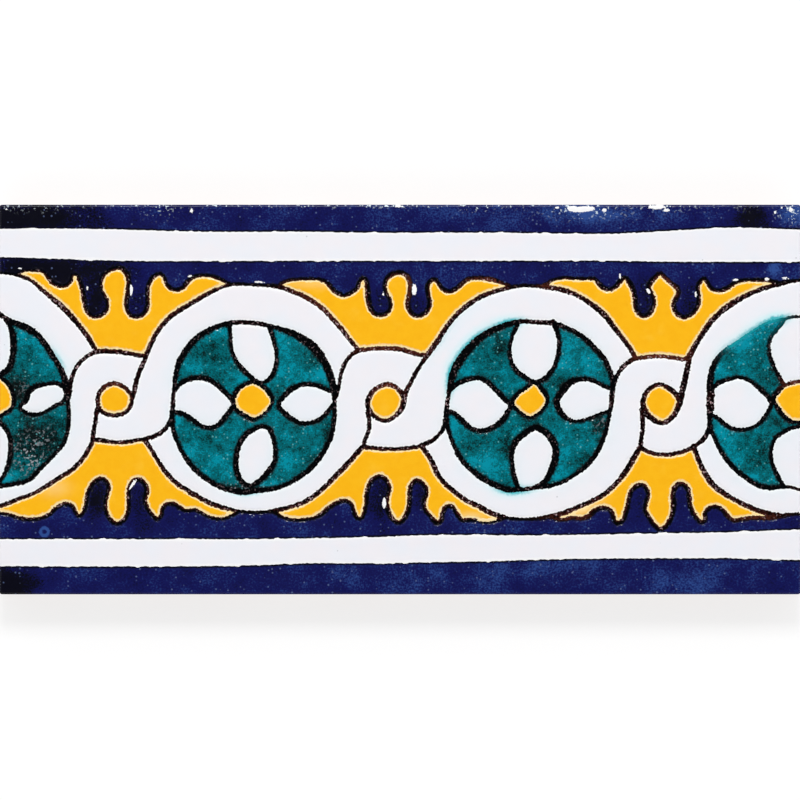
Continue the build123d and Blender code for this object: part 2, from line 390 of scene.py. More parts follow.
                (593.5, 510, 4.5), (600, 507, 4), (607, 507.5, 4), (612, 512, 4.5), (614, 519, 4.5),
                (617, 522.5, 4), (622.5, 519, 4.5), (625.5, 511.5, 4.5), (627.5, 502, 4),
                (630, 492.5, 4.5), (635, 486, 4.5), (641.5, 483.8, 4), (646, 487.5, 4), (648, 494, 4),
                (646, 501.5, 4), (645, 509.5, 4), (649, 517, 4.5), (654, 524, 4.5), (660, 528.5, 4.5),
                (666.5, 524, 4.5), (671, 515.5, 4.5), (672.8, 506, 5), (672, 496, 5),
                (673.5, 488, 5), (678, 483.3, 4.5), (683.5, 484, 4.5), (688, 489, 4.5),
                (689, 498, 4.5), (690.5, 507.5, 4.5), (695, 515.5, 4.5), (700.5, 521, 4),
                (704, 520, 4), (704.5, 512.5, 4.5), (708.5, 507.3, 4), (715, 505.8, 4),
                (721.5, 508.5, 4), (726, 514, 4.5), (731.5, 519, 4), (740, 518.5, 4),
                (752, 516.8, 4), (764, 517.3, 4), (775, 516.5, 4), (786, 514, 3.5))),
    )

    def strokes(self) -> list[Stroke]:
        """List every stroke of the drawing."""
        groups = (self.ring_tops, self.ring_bottoms, self.links, self.eyes, self.discs, self.petals,
                  self.hearts, self.crowns)
        return [stroke for group in groups for stroke in group]


@dataclass(frozen=True)
class TileForm:
    """The outside of the CAD tile, which the glaze follows, in millimetres."""

    length: float
    width: float
    thickness: float
    corner_radius: float = 0.66
    arris_radius: float = 0.5

    @staticmethod
    def of_node(name: str) -> "TileForm":
        """Take the sizes of a CAD node's box.

        Args:
            name: The node's name.

        Returns:
            The form.
        """
        low, high = (np.array(corner) / METRES_PER_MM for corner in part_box(name))
        return TileForm(*(high - low))

    def inset(self, x: np.ndarray, y: np.ndarray) -> np.ndarray:
        """Measure how far points lie inside the outline seen from above.

        Args:
            x: The places along the tile.
            y: The places across it.

        Returns:
            The distance to the outline, negative outside it.
        """
        past_x = np.abs(x) - (self.length / 2 - self.corner_radius)
        past_y = np.abs(y) - (self.width / 2 - self.corner_radius)
        corner = np.hypot(np.maximum(past_x, 0), np.maximum(past_y, 0))
        return self.corner_radius - corner - np.minimum(np.maximum(past_x, past_y), 0)

    def height(self, inset: np.ndarray) -> np.ndarray:
        """Give the height of the face, rounded over at the arris, at a distance inside the outline."""
        fall = np.clip(self.arris_radius - inset, 0, self.arris_radius)
        return self.thickness - self.arris_radius + np.sqrt(self.arris_radius ** 2 - fall ** 2)


class Grid:
    """A fine square grid over the face, on which the distances to the lines are kept."""

    def __init__(self, form: TileForm, step: float = 0.16, margin: float = 0.8) -> None:
        """Lay the grid out.

        Args:
            form: The tile that it covers.
            step: The side of one square.
            margin: How far the grid reaches past the tile.
        """
        self.step = step
        self.x = np.arange(-form.length / 2 - margin, form.length / 2 + margin, step)
        self.y = np.arange(-form.width / 2 - margin, form.width / 2 + margin, step)
        self.inset = form.inset(self.x[None, :], self.y[:, None])

    def line_distance(self, strokes: list[Stroke], reach: float = 3.5) -> np.ndarray:
        """Measure the distance to the edge of the nearest resist line.

        Args:
            strokes: The lines of the drawing.
            reach: The distance at which the measuring stops.

        Returns:
            The distance at every grid point, negative within a line.
        """
        distance = np.full((len(self.y), len(self.x)), reach)
        for stroke in strokes:
            line = stroke.line()
            for (ax, ay, aw), (bx, by, bw) in zip(line, line[1:]):
                pad = reach + max(aw, bw) / 2
                left, right = np.searchsorted(self.x, (min(ax, bx) - pad, max(ax, bx) + pad))
                low, high = np.searchsorted(self.y, (min(ay, by) - pad, max(ay, by) + pad))
                if left == right or low == high:
                    continue
                x = self.x[None, left:right] - ax
                y = self.y[low:high, None] - ay
                along_x, along_y = bx - ax, by - ay
                part = (x * along_x + y * along_y) / (along_x ** 2 + along_y ** 2 + 1e-12)
                part = np.clip(part, 0, 1)
                gap = np.hypot(x - part * along_x, y - part * along_y) - (aw + part * (bw - aw)) / 2
                window = distance[low:high, left:right]
                np.minimum(window, gap, out=window)
        return distance

    def unevenness(self, seed: int, wavelength: float) -> np.ndarray:
        """Make smooth random unevenness over the whole face.

        Args:
            seed: The start of the random numbers.
            wavelength: The usual distance between two crests, in millimetres.

        Returns:
            Values with a mean of 0 and a spread of 1.
        """
        rows, columns = len(self.y), len(self.x)
        grain = np.random.default_rng(seed).standard_normal((rows, columns))
        across = np.fft.fftfreq(rows, self.step)[:, None]
        along = np.fft.rfftfreq(columns, self.step)[None, :]
        softening = np.exp(-0.5 * (across ** 2 + along ** 2) * (0.8 * wavelength) ** 2)
        smooth = np.fft.irfft2(np.fft.rfft2(grain) * softening, (rows, columns))
        return (smooth - smooth.mean()) / smooth.std()

    def read(self, values: np.ndarray, points: np.ndarray) -> np.ndarray:
        """Read values between the grid points.

        Args:
            values: One value for every grid point.
            points: Rows of x and y.

        Returns:
            One value for every row.
        """
        column = np.clip((points[:, 0] - self.x[0]) / self.step, 0, len(self.x) - 1.001)
        row = np.clip((points[:, 1] - self.y[0]) / self.step, 0, len(self.y) - 1.001)
        i, j = column.astype(int), row.astype(int)
        s, t = column - i, row - j
        low = values[j, i] * (1 - s) + values[j, i + 1] * s
        high = values[j + 1, i] * (1 - s) + values[j + 1, i + 1] * s
        return low * (1 - t) + high * t

    def flood(self, is_open: np.ndarray, seeds: tuple[Point, ...]) -> np.ndarray:
        """Fill the cells of the drawing that hold a seed.

        Args:
            is_open: Where glaze can flow.
            seeds: A column and row of the squared paper in each cell.

        Returns:
            Where the glaze has flowed to.
        """
        filled = np.zeros_like(is_open)
        for column, row in seeds:
            x, y = on_tile(column, row)
            filled[np.searchsorted(self.y, y), np.searchsorted(self.x, x)] = True
        filled &= is_open
        before = -1
        while before != filled.sum():
            before = filled.sum()
            filled = sweep(is_open, filled)
            filled = sweep(is_open.T, filled.T).T
        return filled


def sweep(is_open: np.ndarray, filled: np.ndarray) -> np.ndarray:
    """Spread a fill along the rows.

    Args:
        is_open: Where the fill can go.
        filled: Where it has been so far.

    Returns:
        The fill, with every open run of a row that it touched filled from end to end.
    """
    is_open = np.ascontiguousarray(is_open)
    starts = is_open & ~np.pad(is_open, ((0, 0), (1, 0)))[:, :-1]
    run = np.cumsum(starts.ravel()) * is_open.ravel()
    touched = np.bincount(run, weights=np.ascontiguousarray(filled).ravel()) > 0
    touched[0] = False
    return touched[run].reshape(is_open.shape)


# Which sides of a grid square a contour enters and leaves by, for each pattern of inside corners.
# The corners count 1, 2, 4 and 8 and the sides 0, 1, 2 and 3, both anticlockwise from the lower
# left, and the inside lies to the left of the contour.
SQUARE_CROSSINGS = {
    1: ((0, 3),), 2: ((1, 0),), 3: ((1, 3),), 4: ((2, 1),), 5: ((0, 3), (2, 1)), 6: ((2, 0),),
    7: ((2, 3),), 8: ((3, 2),), 9: ((0, 2),), 10: ((1, 0), (3, 2)), 11: ((1, 2),), 12: ((3, 1),),
    13: ((0, 1),), 14: ((3, 0),),
}


def contours(grid: Grid, values: np.ndarray) -> list[Loop]:
    """Trace the closed lines along which values on a grid change sign.

    Args:
        grid: The grid.
        values: One value for every grid point, negative at the border of the grid.

    Returns:
        The loops, with the positive side to their left.
    """
    rows, columns = values.shape
    inside = (values > 0).astype(int)
    pattern = inside[:-1, :-1] + 2 * inside[:-1, 1:] + 4 * inside[1:, 1:] + 8 * inside[1:, :-1]
    onward = np.full(2 * rows * columns, -1)
    for case, crossings in SQUARE_CROSSINGS.items():
        j, i = np.nonzero(pattern == case)
        corner = j * columns + i
        sides = (corner, rows * columns + corner + 1, corner + columns, rows * columns + corner)
        for enter, leave in crossings:
            onward[sides[enter]] = sides[leave]
    used = np.nonzero(onward >= 0)[0]
    upright = used >= rows * columns
    j, i = np.divmod(used - upright * rows * columns, columns)
    here = values[j, i]
    there = values[j + upright, i + ~upright]
    part = here / (here - there)
    place = {
        side: (x, y) for side, x, y in zip(
            used.tolist(),
            (grid.x[i] + ~upright * part * grid.step).tolist(),
            (grid.y[j] + upright * part * grid.step).tolist(),
        )
    }
    follow = dict(zip(used.tolist(), onward[used].tolist()))
    loops = []
    while follow:
        first, side = follow.popitem()
        loop = [place[first]]
        while side != first:
            loop.append(place[side])
            side = follow.pop(side)
        loops.append(np.array(loop))
    return loops


def loop_area(loop: Loop) -> float:
    """Give the area inside a loop, negative where it runs clockwise."""
    after = np.roll(loop, -1, axis=0)
    return float(0.5 * np.sum(loop[:, 0] * after[:, 1] - after[:, 0] * loop[:, 1]))


def even_loop(loop: Loop, spacing: float) -> Loop:
    """Space the points of a loop evenly.

    Args:
        loop: The loop.
        spacing: The distance wanted between two points.

    Returns:
        The same loop with new points.
    """
    closed = np.vstack([loop, loop[:1]])
    run = np.concatenate([[0.0], np.cumsum(np.hypot(*np.diff(closed, axis=0).T))])
    places = np.linspace(0, run[-1], max(6, round(run[-1] / spacing)), endpoint=False)
    return np.column_stack([np.interp(places, run, closed[:, k]) for k in (0, 1)])


@dataclass
class Patch:
    """A flat triangle mesh of some cells of the drawing, seen from above."""

    points: np.ndarray
    triangles: np.ndarray

    def rim(self) -> np.ndarray:
        """List the edges that only one triangle has, with the mesh to their left."""
        edges = np.vstack([self.triangles[:, pair] for pair in ([0, 1], [1, 2], [2, 0])])
        total = len(self.points)
        return edges[~np.isin(edges[:, 0] * total + edges[:, 1], edges[:, 1] * total + edges[:, 0])]


@dataclass(frozen=True)
class Weave:
    """How closely a patch is meshed: along its rim, along rings inside the rim, in the middle, and
    round small marks."""

    rim_spacing: float = 0.3
    rings: tuple[tuple[float, float], ...] = ((0.12, 0.34), (0.3, 0.45), (0.6, 0.6), (1.05, 0.85))
    middle_spacing: float = 1.2
    smallest: float = 0.15
    fine_marks: tuple["Spot", ...] = ()
    fine_reach: float = 1.8
    fine_spacing: float = 0.22


def fill_patch(grid: Grid, values: np.ndarray, weave: Weave, seed: int) -> Patch:
    """Mesh the area where values on the grid are positive.

    Args:
        grid: The grid.
        values: The distance inside the area's edge, in millimetres.
        weave: How closely to mesh it.
        seed: The start of the random numbers that unsettle the middle points.

    Returns:
        The mesh.
    """
    rims = [even_loop(loop, weave.rim_spacing) for loop in contours(grid, values)
            if abs(loop_area(loop)) > weave.smallest]
    edges, count = [], 0
    for rim in rims:
        numbers = np.arange(count, count + len(rim))
        edges.append(np.column_stack([numbers, np.roll(numbers, -1)]))
        count += len(rim)
    edges = np.vstack(edges)
    inner = [even_loop(loop, spacing) for level, spacing in weave.rings
             for loop in contours(grid, values - level) if len(loop) > 3]
    deepest = weave.rings[-1][0] if weave.rings else 0.0
    inner.append(middle_points(grid, values, deepest + 0.45 * weave.middle_spacing,
                               weave.middle_spacing, seed))
    for mark in weave.fine_marks:
        fine = middle_points(grid, values, weave.fine_spacing, weave.fine_spacing, seed)
        inner.append(fine[mark.reach(fine[:, 0], fine[:, 1]) < weave.fine_reach])
    points = np.vstack(rims + inner)
    flat, sides, faces, _, origins, _ = delaunay_2d_cdt(
        [Vector(p) for p in points], edges.tolist(), [], WHOLE_HULL, 1e-6, True)
    places, triangles = np.array([tuple(p) for p in flat]), np.array(faces)
    barriers = np.array([side for side, origin in zip(sides, origins) if origin])
    group = groups_between(triangles, barriers)
    corners = places[triangles]
    (ax, ay), (bx, by) = (corners[:, 1] - corners[:, 0]).T, (corners[:, 2] - corners[:, 0]).T
    vote = np.abs(ax * by - ay * bx) * np.sign(grid.read(values, corners.mean(axis=1)))
    triangles = triangles[np.bincount(group, weights=vote)[group] > 0]
    used, renumbered = np.unique(triangles, return_inverse=True)
    return Patch(places[used], renumbered.reshape(-1, 3))


def groups_between(triangles: np.ndarray, barriers: np.ndarray) -> np.ndarray:
    """Number the groups of neighbouring triangles that no barrier parts.

    Args:
        triangles: Rows of three point numbers.
        barriers: Rows of two point numbers, the edges that part two groups.

    Returns:
        The group's number for every triangle.
    """
    total = triangles.max() + 1
    sides = np.sort(triangles[:, [0, 1, 1, 2, 2, 0]].reshape(-1, 2), axis=1) @ (total, 1)
    order = np.argsort(sides, kind="stable")
    sides, owners = sides[order], order // 3
    shared = (sides[1:] == sides[:-1]) & ~np.isin(sides[1:], np.sort(barriers, axis=1) @ (total, 1))
    one, other = owners[:-1][shared], owners[1:][shared]
    group = np.arange(len(triangles))
    while (group[one] != group[other]).any():
        low = np.minimum(group[one], group[other])
        np.minimum.at(group, group[one], low)
        np.minimum.at(group, group[other], low)
        group = group[group]
    return group[group]


def middle_points(grid: Grid, values: np.ndarray, depth: float, spacing: float, seed: int) -> np.ndarray:
    """Scatter points in a loose triangle pattern over the middle of an area.

    Args:
        grid: The grid.
        values: The distance inside the area's edge.
        depth: How far inside the edge the points start.
        spacing: The distance between them.
        seed: The start of the random numbers.

    Returns:
        Rows of x and y.
    """
    x = np.arange(grid.x[0], grid.x[-1], spacing)
    y = np.arange(grid.y[0], grid.y[-1], spacing * math.sqrt(3) / 2)
    points = np.array([(a + (j % 2) * spacing / 2, b) for j, b in enumerate(y) for a in x])
    points += np.random.default_rng(seed).uniform(-0.12, 0.12, points.shape) * spacing
    return points[grid.read(values, points) > depth]


def grown(mask: np.ndarray) -> np.ndarray:
    """Grow a mask by one grid square on every side."""
    wide = mask.copy()
    for axis in (0, 1):
        for step in (-1, 1):
            wide |= np.roll(wide, step, axis)
    return wide


@dataclass(frozen=True)
class Spot:
    """A soft oval place on the drawing where a finish changes, in squares of the paper."""

    column: float
    row: float
    half_length: float
    half_width: float
    strength: float = 1.0
    turn: float = 0.0
    is_ring: bool = False

    def reach(self, x: np.ndarray, y: np.ndarray) -> np.ndarray:
        """Measure how far points lie from the middle of the spot, 1 being on its edge.

        Args:
            x: The places along the tile, in millimetres.
            y: The places across it.

        Returns:
            The distance as a share of the spot's size.
        """
        middle_x, middle_y = on_tile(self.column, self.row)
        turn = math.radians(self.turn)
        along = (x - middle_x) * math.cos(turn) + (y - middle_y) * math.sin(turn)
        across = (y - middle_y) * math.cos(turn) - (x - middle_x) * math.sin(turn)
        return np.hypot(along / (self.half_length * SQUARE_MM), across / (self.half_width * SQUARE_MM))


def spotted(points: np.ndarray, spots: tuple[Spot, ...]) -> np.ndarray:
    """Add up how strongly soft spots act on points.

    Args:
        points: Rows of x and y in millimetres.
        spots: The spots.

    Returns:
        One value for every row.
    """
    total = np.zeros(len(points))
    for spot in spots:
        reach = spot.reach(points[:, 0], points[:, 1])
        total += spot.strength * np.exp(-(2.5 * (reach - 1) if spot.is_ring else reach) ** 2)
    return total


@dataclass(frozen=True)
class Stripes:
    """The two white stripes along the border, each by its upper and its lower edge."""

    edges: tuple[tuple[tuple[Point, ...], tuple[Point, ...]], ...] = (
        (((-5, 229), (70, 229), (130, 230), (190, 232), (310, 232), (370, 233), (490, 233), (610, 234),
          (670, 231), (730, 228), (805, 230)),
         ((-5, 256), (70, 258.3), (130, 260), (310, 260), (490, 260), (610, 260), (670, 261),
          (805, 261))),
        (((-5, 539), (190, 539), (250, 539), (310, 538), (370, 537), (430, 535), (550, 535), (610, 534),
          (670, 533), (730, 532), (805, 529)),
         ((-5, 565), (190, 565), (250, 564), (310, 562), (370, 562), (430, 561), (490, 560), (550, 558),
          (670, 557), (730, 557), (805, 559))),
    )
    spread: float = 0.36

    def inside(self, grid: Grid, waver: np.ndarray) -> np.ndarray:
        """Measure how far the grid points lie inside a stripe, which spreads past its drawn edges.

        Args:
            grid: The grid.
            waver: How much the brush wavered at each grid point, in millimetres.

        Returns:
            The distance to the stripe's edge, negative outside.
        """
        best = np.full((len(grid.y), len(grid.x)), -99.0)
        for upper, lower in self.edges:
            top, bottom = (self._height(edge, grid.x) for edge in (upper, lower))
            best = np.maximum(best, np.minimum(top[None, :] - grid.y[:, None],
                                               grid.y[:, None] - bottom[None, :]))
        return best + self.spread + waver

    @staticmethod
    def _height(edge: tuple[Point, ...], x: np.ndarray) -> np.ndarray:
        """Give the y of a stripe's edge at places along the tile."""
        points = np.array([on_tile(column, row) for column, row in edge])
        line = smooth_line(points, False, 1.0)
        return np.interp(x, line[:, 0], line[:, 1])


@dataclass(frozen=True)
class Seeds:
    """A column and row in every cell that isn't white."""

    amber: tuple[Point, ...] = (
        (2, 395), (253, 400), (530, 400), (792, 402), (115, 401), (386, 402), (660, 402),
        (115, 340), (385, 335), (662, 340), (118, 460), (393, 465), (664, 475))
    green: tuple[Point, ...] = (
        (45, 360), (35, 440), (205, 350), (305, 365), (205, 450), (300, 450), (480, 360), (585, 360),
        (480, 450), (585, 450), (745, 355), (745, 450))
    cobalt: tuple[Point, ...] = ((400, 217), (400, 268), (400, 528), (400, 580))


@dataclass(frozen=True)
class SlipsAndGlints:
    """Small dabs of white on the cobalt: where the glaze slipped over a line, and painted glints of the
    light beside some lines and along the upper arris.
    """

    dabs: tuple[Spot, ...] = (
        Spot(132, 290, 1.8, 5.5), Spot(414.5, 289.5, 2.6, 6.5), Spot(384, 502, 2.2, 5.5),
        Spot(619.5, 275.5, 1.3, 3.2), Spot(648, 291, 1.6, 2.6, turn=25), Spot(88, 288, 1.3, 3),
        Spot(190, 276, 2.2, 1.2), Spot(20, 268, 3, 1.2), Spot(735, 279.5, 4, 1.2),
        Spot(784, 277.5, 4.5, 1.2), Spot(766, 279, 2.5, 1.4), Spot(486, 519, 9, 1.8),
        Spot(133, 484, 1.3, 6, turn=-35), Spot(383, 294, 1.2, 2.6), Spot(695, 294, 1.2, 3),
        Spot(531, 263, 1.2, 1), Spot(259, 281.5, 8, 1.1), Spot(192, 210.5, 2, 2.8),
        # Along the upper arris, where the dabs are painted glints
        Spot(582, 209, 15, 3.4, turn=4), Spot(572, 208, 6, 3), Spot(604, 210, 3, 2.4),
        Spot(557, 207.5, 3, 1.6), Spot(656, 207, 11, 2.4), Spot(666, 210, 4.5, 2),
        Spot(399, 206, 5.5, 1.6), Spot(790, 209.5, 2.6, 2.8), Spot(774.5, 212, 1.8, 2.4),
        Spot(781, 207.5, 1.6, 1.4), Spot(7, 209, 1.8, 1.4), Spot(19, 207.5, 1.6, 1.3),
        Spot(28, 207.5, 1.6, 1.3), Spot(32, 210, 1.5, 1.3), Spot(155, 208, 1.6, 1.3),
    )

    def inside(self, grid: Grid) -> np.ndarray:
        """Measure roughly how far the grid points lie inside a dab."""
        best = np.full((len(grid.y), len(grid.x)), -99.0)
        for dab in self.dabs:
            thickness = min(dab.half_length, dab.half_width) * SQUARE_MM
            best = np.maximum(best, (1 - dab.reach(grid.x[None, :], grid.y[:, None])) * thickness)
        return best


@dataclass(frozen=True)
class Hand:
    """How steady the painter's hand is, each as a depth and the distance between two, in millimetres."""

    wobble: tuple[float, float] = (0.045, 0.9)
    fraying: tuple[float, float] = (0.09, 0.4)
    waver_of_stripes: tuple[float, float] = (0.04, 1.6)
    waver_of_slips_and_glints: tuple[float, float] = (0.07, 0.5)


class Painting:
    """The painted face: the cells of the drawing, filled with their glazes."""

    creep: float = 0.02
    farthest: float = 3.0
    outside: float = -1.0
    stripe_overlap: float = 0.25
    slip_and_glint_overlap: float = 0.12
    line_overlap: float = 0.12

    def __init__(self, form: TileForm, drawing: Drawing, hand: Hand = Hand()) -> None:
        """Trail the lines and fill the cells.

        Args:
            form: The tile.
            drawing: The lines.
            hand: How steadily they are trailed.
        """
        self.form = form
        self.grid = grid = Grid(form)
        steady = grid.line_distance(drawing.strokes())
        is_open = np.minimum(steady, grid.inset) > 0
        seeds = Seeds()
        masks = {
            Glaze.AMBER: grid.flood(is_open, seeds.amber),
            Glaze.GREEN: grid.flood(is_open, seeds.green),
            Glaze.COBALT: grid.flood(is_open, seeds.cobalt),
        }
        masks[Glaze.WHITE] = is_open & ~np.any(list(masks.values()), axis=0)
        unsteadiness = self._uneven(3, hand.wobble) + self._uneven(4, hand.fraying)
        self.line_gap = np.minimum(steady + self.creep + unsteadiness, self.farthest)
        open_cells = np.minimum(self.line_gap, grid.inset)
        self.cells = {glaze: np.where(grown(grown(mask)), open_cells, self.outside)
                      for glaze, mask in masks.items()}
        self.stripe = Stripes().inside(grid, self._uneven(5, hand.waver_of_stripes))
        # The dabs of white hold painted glints as well as real slips of glaze
        self.slip = SlipsAndGlints().inside(grid) + self._uneven(6, hand.waver_of_slips_and_glints)
        self.cells[Glaze.COBALT] = np.minimum.reduce([
            self.cells[Glaze.COBALT], self.stripe_overlap - self.stripe, self.slip_and_glint_overlap - self.slip])
        self.lines = np.minimum(self.line_overlap - self.line_gap, grid.inset)
        self.stripe_cells = np.minimum(self.stripe, grid.inset)
        self.slip_and_glint_cells = np.minimum(self.slip, grid.inset)

    def _uneven(self, seed: int, unevenness: tuple[float, float]) -> np.ndarray:
        """Make unevenness of a depth and a length."""
        depth, length = unevenness
        return depth * self.grid.unevenness(seed, length)


@dataclass(frozen=True)
class Layer:
    """How a layer of glaze or resist lies on the body, in millimetres.

    It sinks by sunk towards a line over a rounded shoulder, waves gently, lies below the CAD face by
    level, and runs down the side as a lip whose edge wanders about its height.
    """

    sunk: float
    shoulder: float
    wave: float
    wave_length: float
    seed: int
    level: float = 0.0
    thickness: float = 0.5
    calm_within: float = 0.6
    calm_wave: float = 0.4
    clear_of_face: float = 0.004
    lip_within: float = 0.02
    lip_height: float = 6.6
    lip_spread: float = 0.45
    lip_wave: float = 12.0
    lip_inset: float = 0.22
    lip_seed_step: int = 100

    def build(self, name: str, painting: Painting, cells: np.ndarray, gap: np.ndarray,
              weave: Weave) -> "Solid":
        """Mesh the layer as a closed solid.

        Args:
            name: The piece's name.
            painting: The painted face.
            cells: The distance inside the layer's edge, on the grid.
            gap: The distance that the layer's rounded shoulder follows, on the grid.
            weave: How closely to mesh it.

        Returns:
            The solid.
        """
        grid, form = painting.grid, painting.form
        patch = fill_patch(grid, cells, weave, self.seed)
        x, y = patch.points[:, 0], patch.points[:, 1]
        inset = np.clip(form.inset(x, y), 0, None)
        face = form.height(inset)
        rise = np.clip(grid.read(gap, patch.points) / self.shoulder, 0, 1)
        droop = self.sunk * (1 + np.cos(math.pi * rise)) / 2
        wave = self.wave * grid.read(grid.unevenness(self.seed, self.wave_length), patch.points)
        inland = np.clip(inset / self.calm_within, 0, 1)
        height = (wave - 2 * self.wave) * (self.calm_wave + (1 - self.calm_wave) * inland)
        top = np.minimum(face - droop - self.level + height, face - self.clear_of_face * inland)
        at_outline = inset < self.lip_within
        drip = grid.read(grid.unevenness(self.seed + self.lip_seed_step, self.lip_wave), patch.points)
        bottom = np.where(at_outline, self.lip_height + self.lip_spread * drip, face - self.thickness)
        top = np.where(at_outline, form.height(np.zeros(1)), top)
        shrink = np.where(at_outline, self.lip_inset, 0.0)
        under_x = x - shrink * np.sign(x) * (np.abs(x) > form.length / 2 - form.corner_radius)
        under_y = y - shrink * np.sign(y) * (np.abs(y) > form.width / 2 - form.corner_radius)
        upper = np.column_stack([x, y, top])
        lower = np.column_stack([under_x, under_y, bottom])
        count = len(x)
        rim = patch.rim()
        walls = np.vstack([
            np.column_stack([rim[:, 0], rim[:, 0] + count, rim[:, 1] + count]),
            np.column_stack([rim[:, 0], rim[:, 1] + count, rim[:, 1]]),
        ])
        faces = np.vstack([patch.triangles, patch.triangles[:, ::-1] + count, walls])
        return Solid(name, np.vstack([upper, lower]), faces)


@dataclass
class Solid:
    """A triangle mesh in millimetres, with the values that its material reads."""

    name: str
    points: np.ndarray
    faces: np.ndarray
    values: dict[str, np.ndarray] = field(default_factory=dict)

    def note(self, name: str, values: np.ndarray) -> None:
        """Keep a value at every point for the material to read."""
        self.values[name] = values

    def mark(self, name: str, spots: tuple[Spot, ...], is_share: bool = False) -> None:
        """Keep how strongly soft spots act at every point, between 0 and 1 if it is a share."""
        strength = spotted(self.points, spots)
        self.note(name, np.clip(strength, 0, 1) if is_share else strength)

    @staticmethod
    def joined(name: str, solids: list["Solid"]) -> "Solid":
        """Join solids that have the same values into one.

        Args:
            name: The name of the joined piece.
            solids: The solids.

        Returns:
            One solid.
        """
        starts = np.cumsum([0] + [len(solid.points) for solid in solids[:-1]])
        values = {key: np.concatenate([solid.values[key] for solid in solids])
                  for key in solids[0].values}
        return Solid(name, np.vstack([solid.points for solid in solids]),
                     np.vstack([solid.faces + start for solid, start in zip(solids, starts)]), values)

    def place(self, finish: "Finish", effects: "SharedEffects") -> bpy.types.Object:
        """Make the Blender object, dress it and let it ride on the tile.

        Args:
            finish: The finish, whose name the material takes.
            effects: The shared node groups.

        Returns:
            The object.
        """
        mesh = bpy.data.meshes.new(self.name)
        mesh.from_pydata((self.points * METRES_PER_MM).tolist(), [], self.faces.tolist())
        mesh.validate()
        mesh.shade_smooth()
        mesh.set_sharp_from_angle(angle=math.radians(SHARP_ANGLE))
        for name, values in self.values.items():
            attribute = mesh.attributes.new(name, "FLOAT", "POINT")
            attribute.data.foreach_set("value", values.astype(np.float32))
        mesh.materials.append(finish.build(effects))
        piece = bpy.data.objects.new(self.name, mesh)
        bpy.context.scene.collection.objects.link(piece)
        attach(piece, "root")
        log.info("%s: %d triangles", self.name, len(self.faces))
        return piece


class Wiring:
    """A short hand for adding and joining the nodes of one node tree."""

    def __init__(self, tree: bpy.types.NodeTree) -> None:
        """Keep the tree."""
        self.tree = tree

    def add(self, kind: str, inputs: dict[str | int, object] | None = None,
            **settings: object) -> bpy.types.Node:
        """Add a node.

        Args:
            kind: The node's type.
            inputs: Values for its sockets, or the sockets that feed them.
            settings: Values for the node's own properties.

        Returns:
            The node.
        """
        node = self.tree.nodes.new(kind)
        for name, value in settings.items():
            setattr(node, name, value)
        for key, value in (inputs or {}).items():
            self.feed(node.inputs[key], value)
        return node

    def feed(self, socket: bpy.types.NodeSocket, value: object) -> None:
        """Set a socket to a value, or join it to the socket that feeds it."""
        if isinstance(value, bpy.types.NodeSocket):
            self.tree.links.new(value, socket)
        elif isinstance(value, tuple) and len(value) == 3 and socket.type == "RGBA":
            socket.default_value = (*value, 1.0)
        else:
            socket.default_value = value

    def calc(self, operation: str, *values: object) -> bpy.types.NodeSocket:
        """Work out a number from other numbers, kept between 0 and 1 by the CLAMP word after a space.

        Args:
            operation: The Math node's operation.
            values: Its numbers or sockets.

        Returns:
            The result's socket.
        """
        operation, _, clamp = operation.partition(" ")
        node = self.add("ShaderNodeMath", dict(enumerate(values)), operation=operation)
        node.use_clamp = bool(clamp)
        return node.outputs[0]

    def ramp(self, value: object, low: object, high: object, to_low: object = 0.0,
             to_high: object = 1.0) -> bpy.types.NodeSocket:
        """Turn a value's passage from low to high into one from to_low to to_high, eased at both ends."""
        node = self.add("ShaderNodeMapRange", {
            "Value": value, "From Min": low, "From Max": high, "To Min": to_low, "To Max": to_high,
        }, interpolation_type="SMOOTHSTEP")
        return node.outputs["Result"]

    def mix(self, share: object, first: object, second: object) -> bpy.types.NodeSocket:
        """Mix a first colour with a share of a second one."""
        return self.add("ShaderNodeMix", {0: share, 6: first, 7: second}, data_type="RGBA").outputs[2]

    def noted(self, name: str) -> bpy.types.NodeSocket:
        """Read a value that the mesh holds."""
        return self.add("ShaderNodeAttribute", attribute_name=name).outputs["Fac"]

    def group(self, tree: bpy.types.NodeTree, **inputs: object) -> bpy.types.NodeSocket:
        """Place a node group, with its inputs' names in small letters, and give its first output."""
        node = self.add("ShaderNodeGroup", node_tree=tree)
        for name, value in inputs.items():
            self.feed(node.inputs[name.replace("_", " ").capitalize()], value)
        return node.outputs[0]


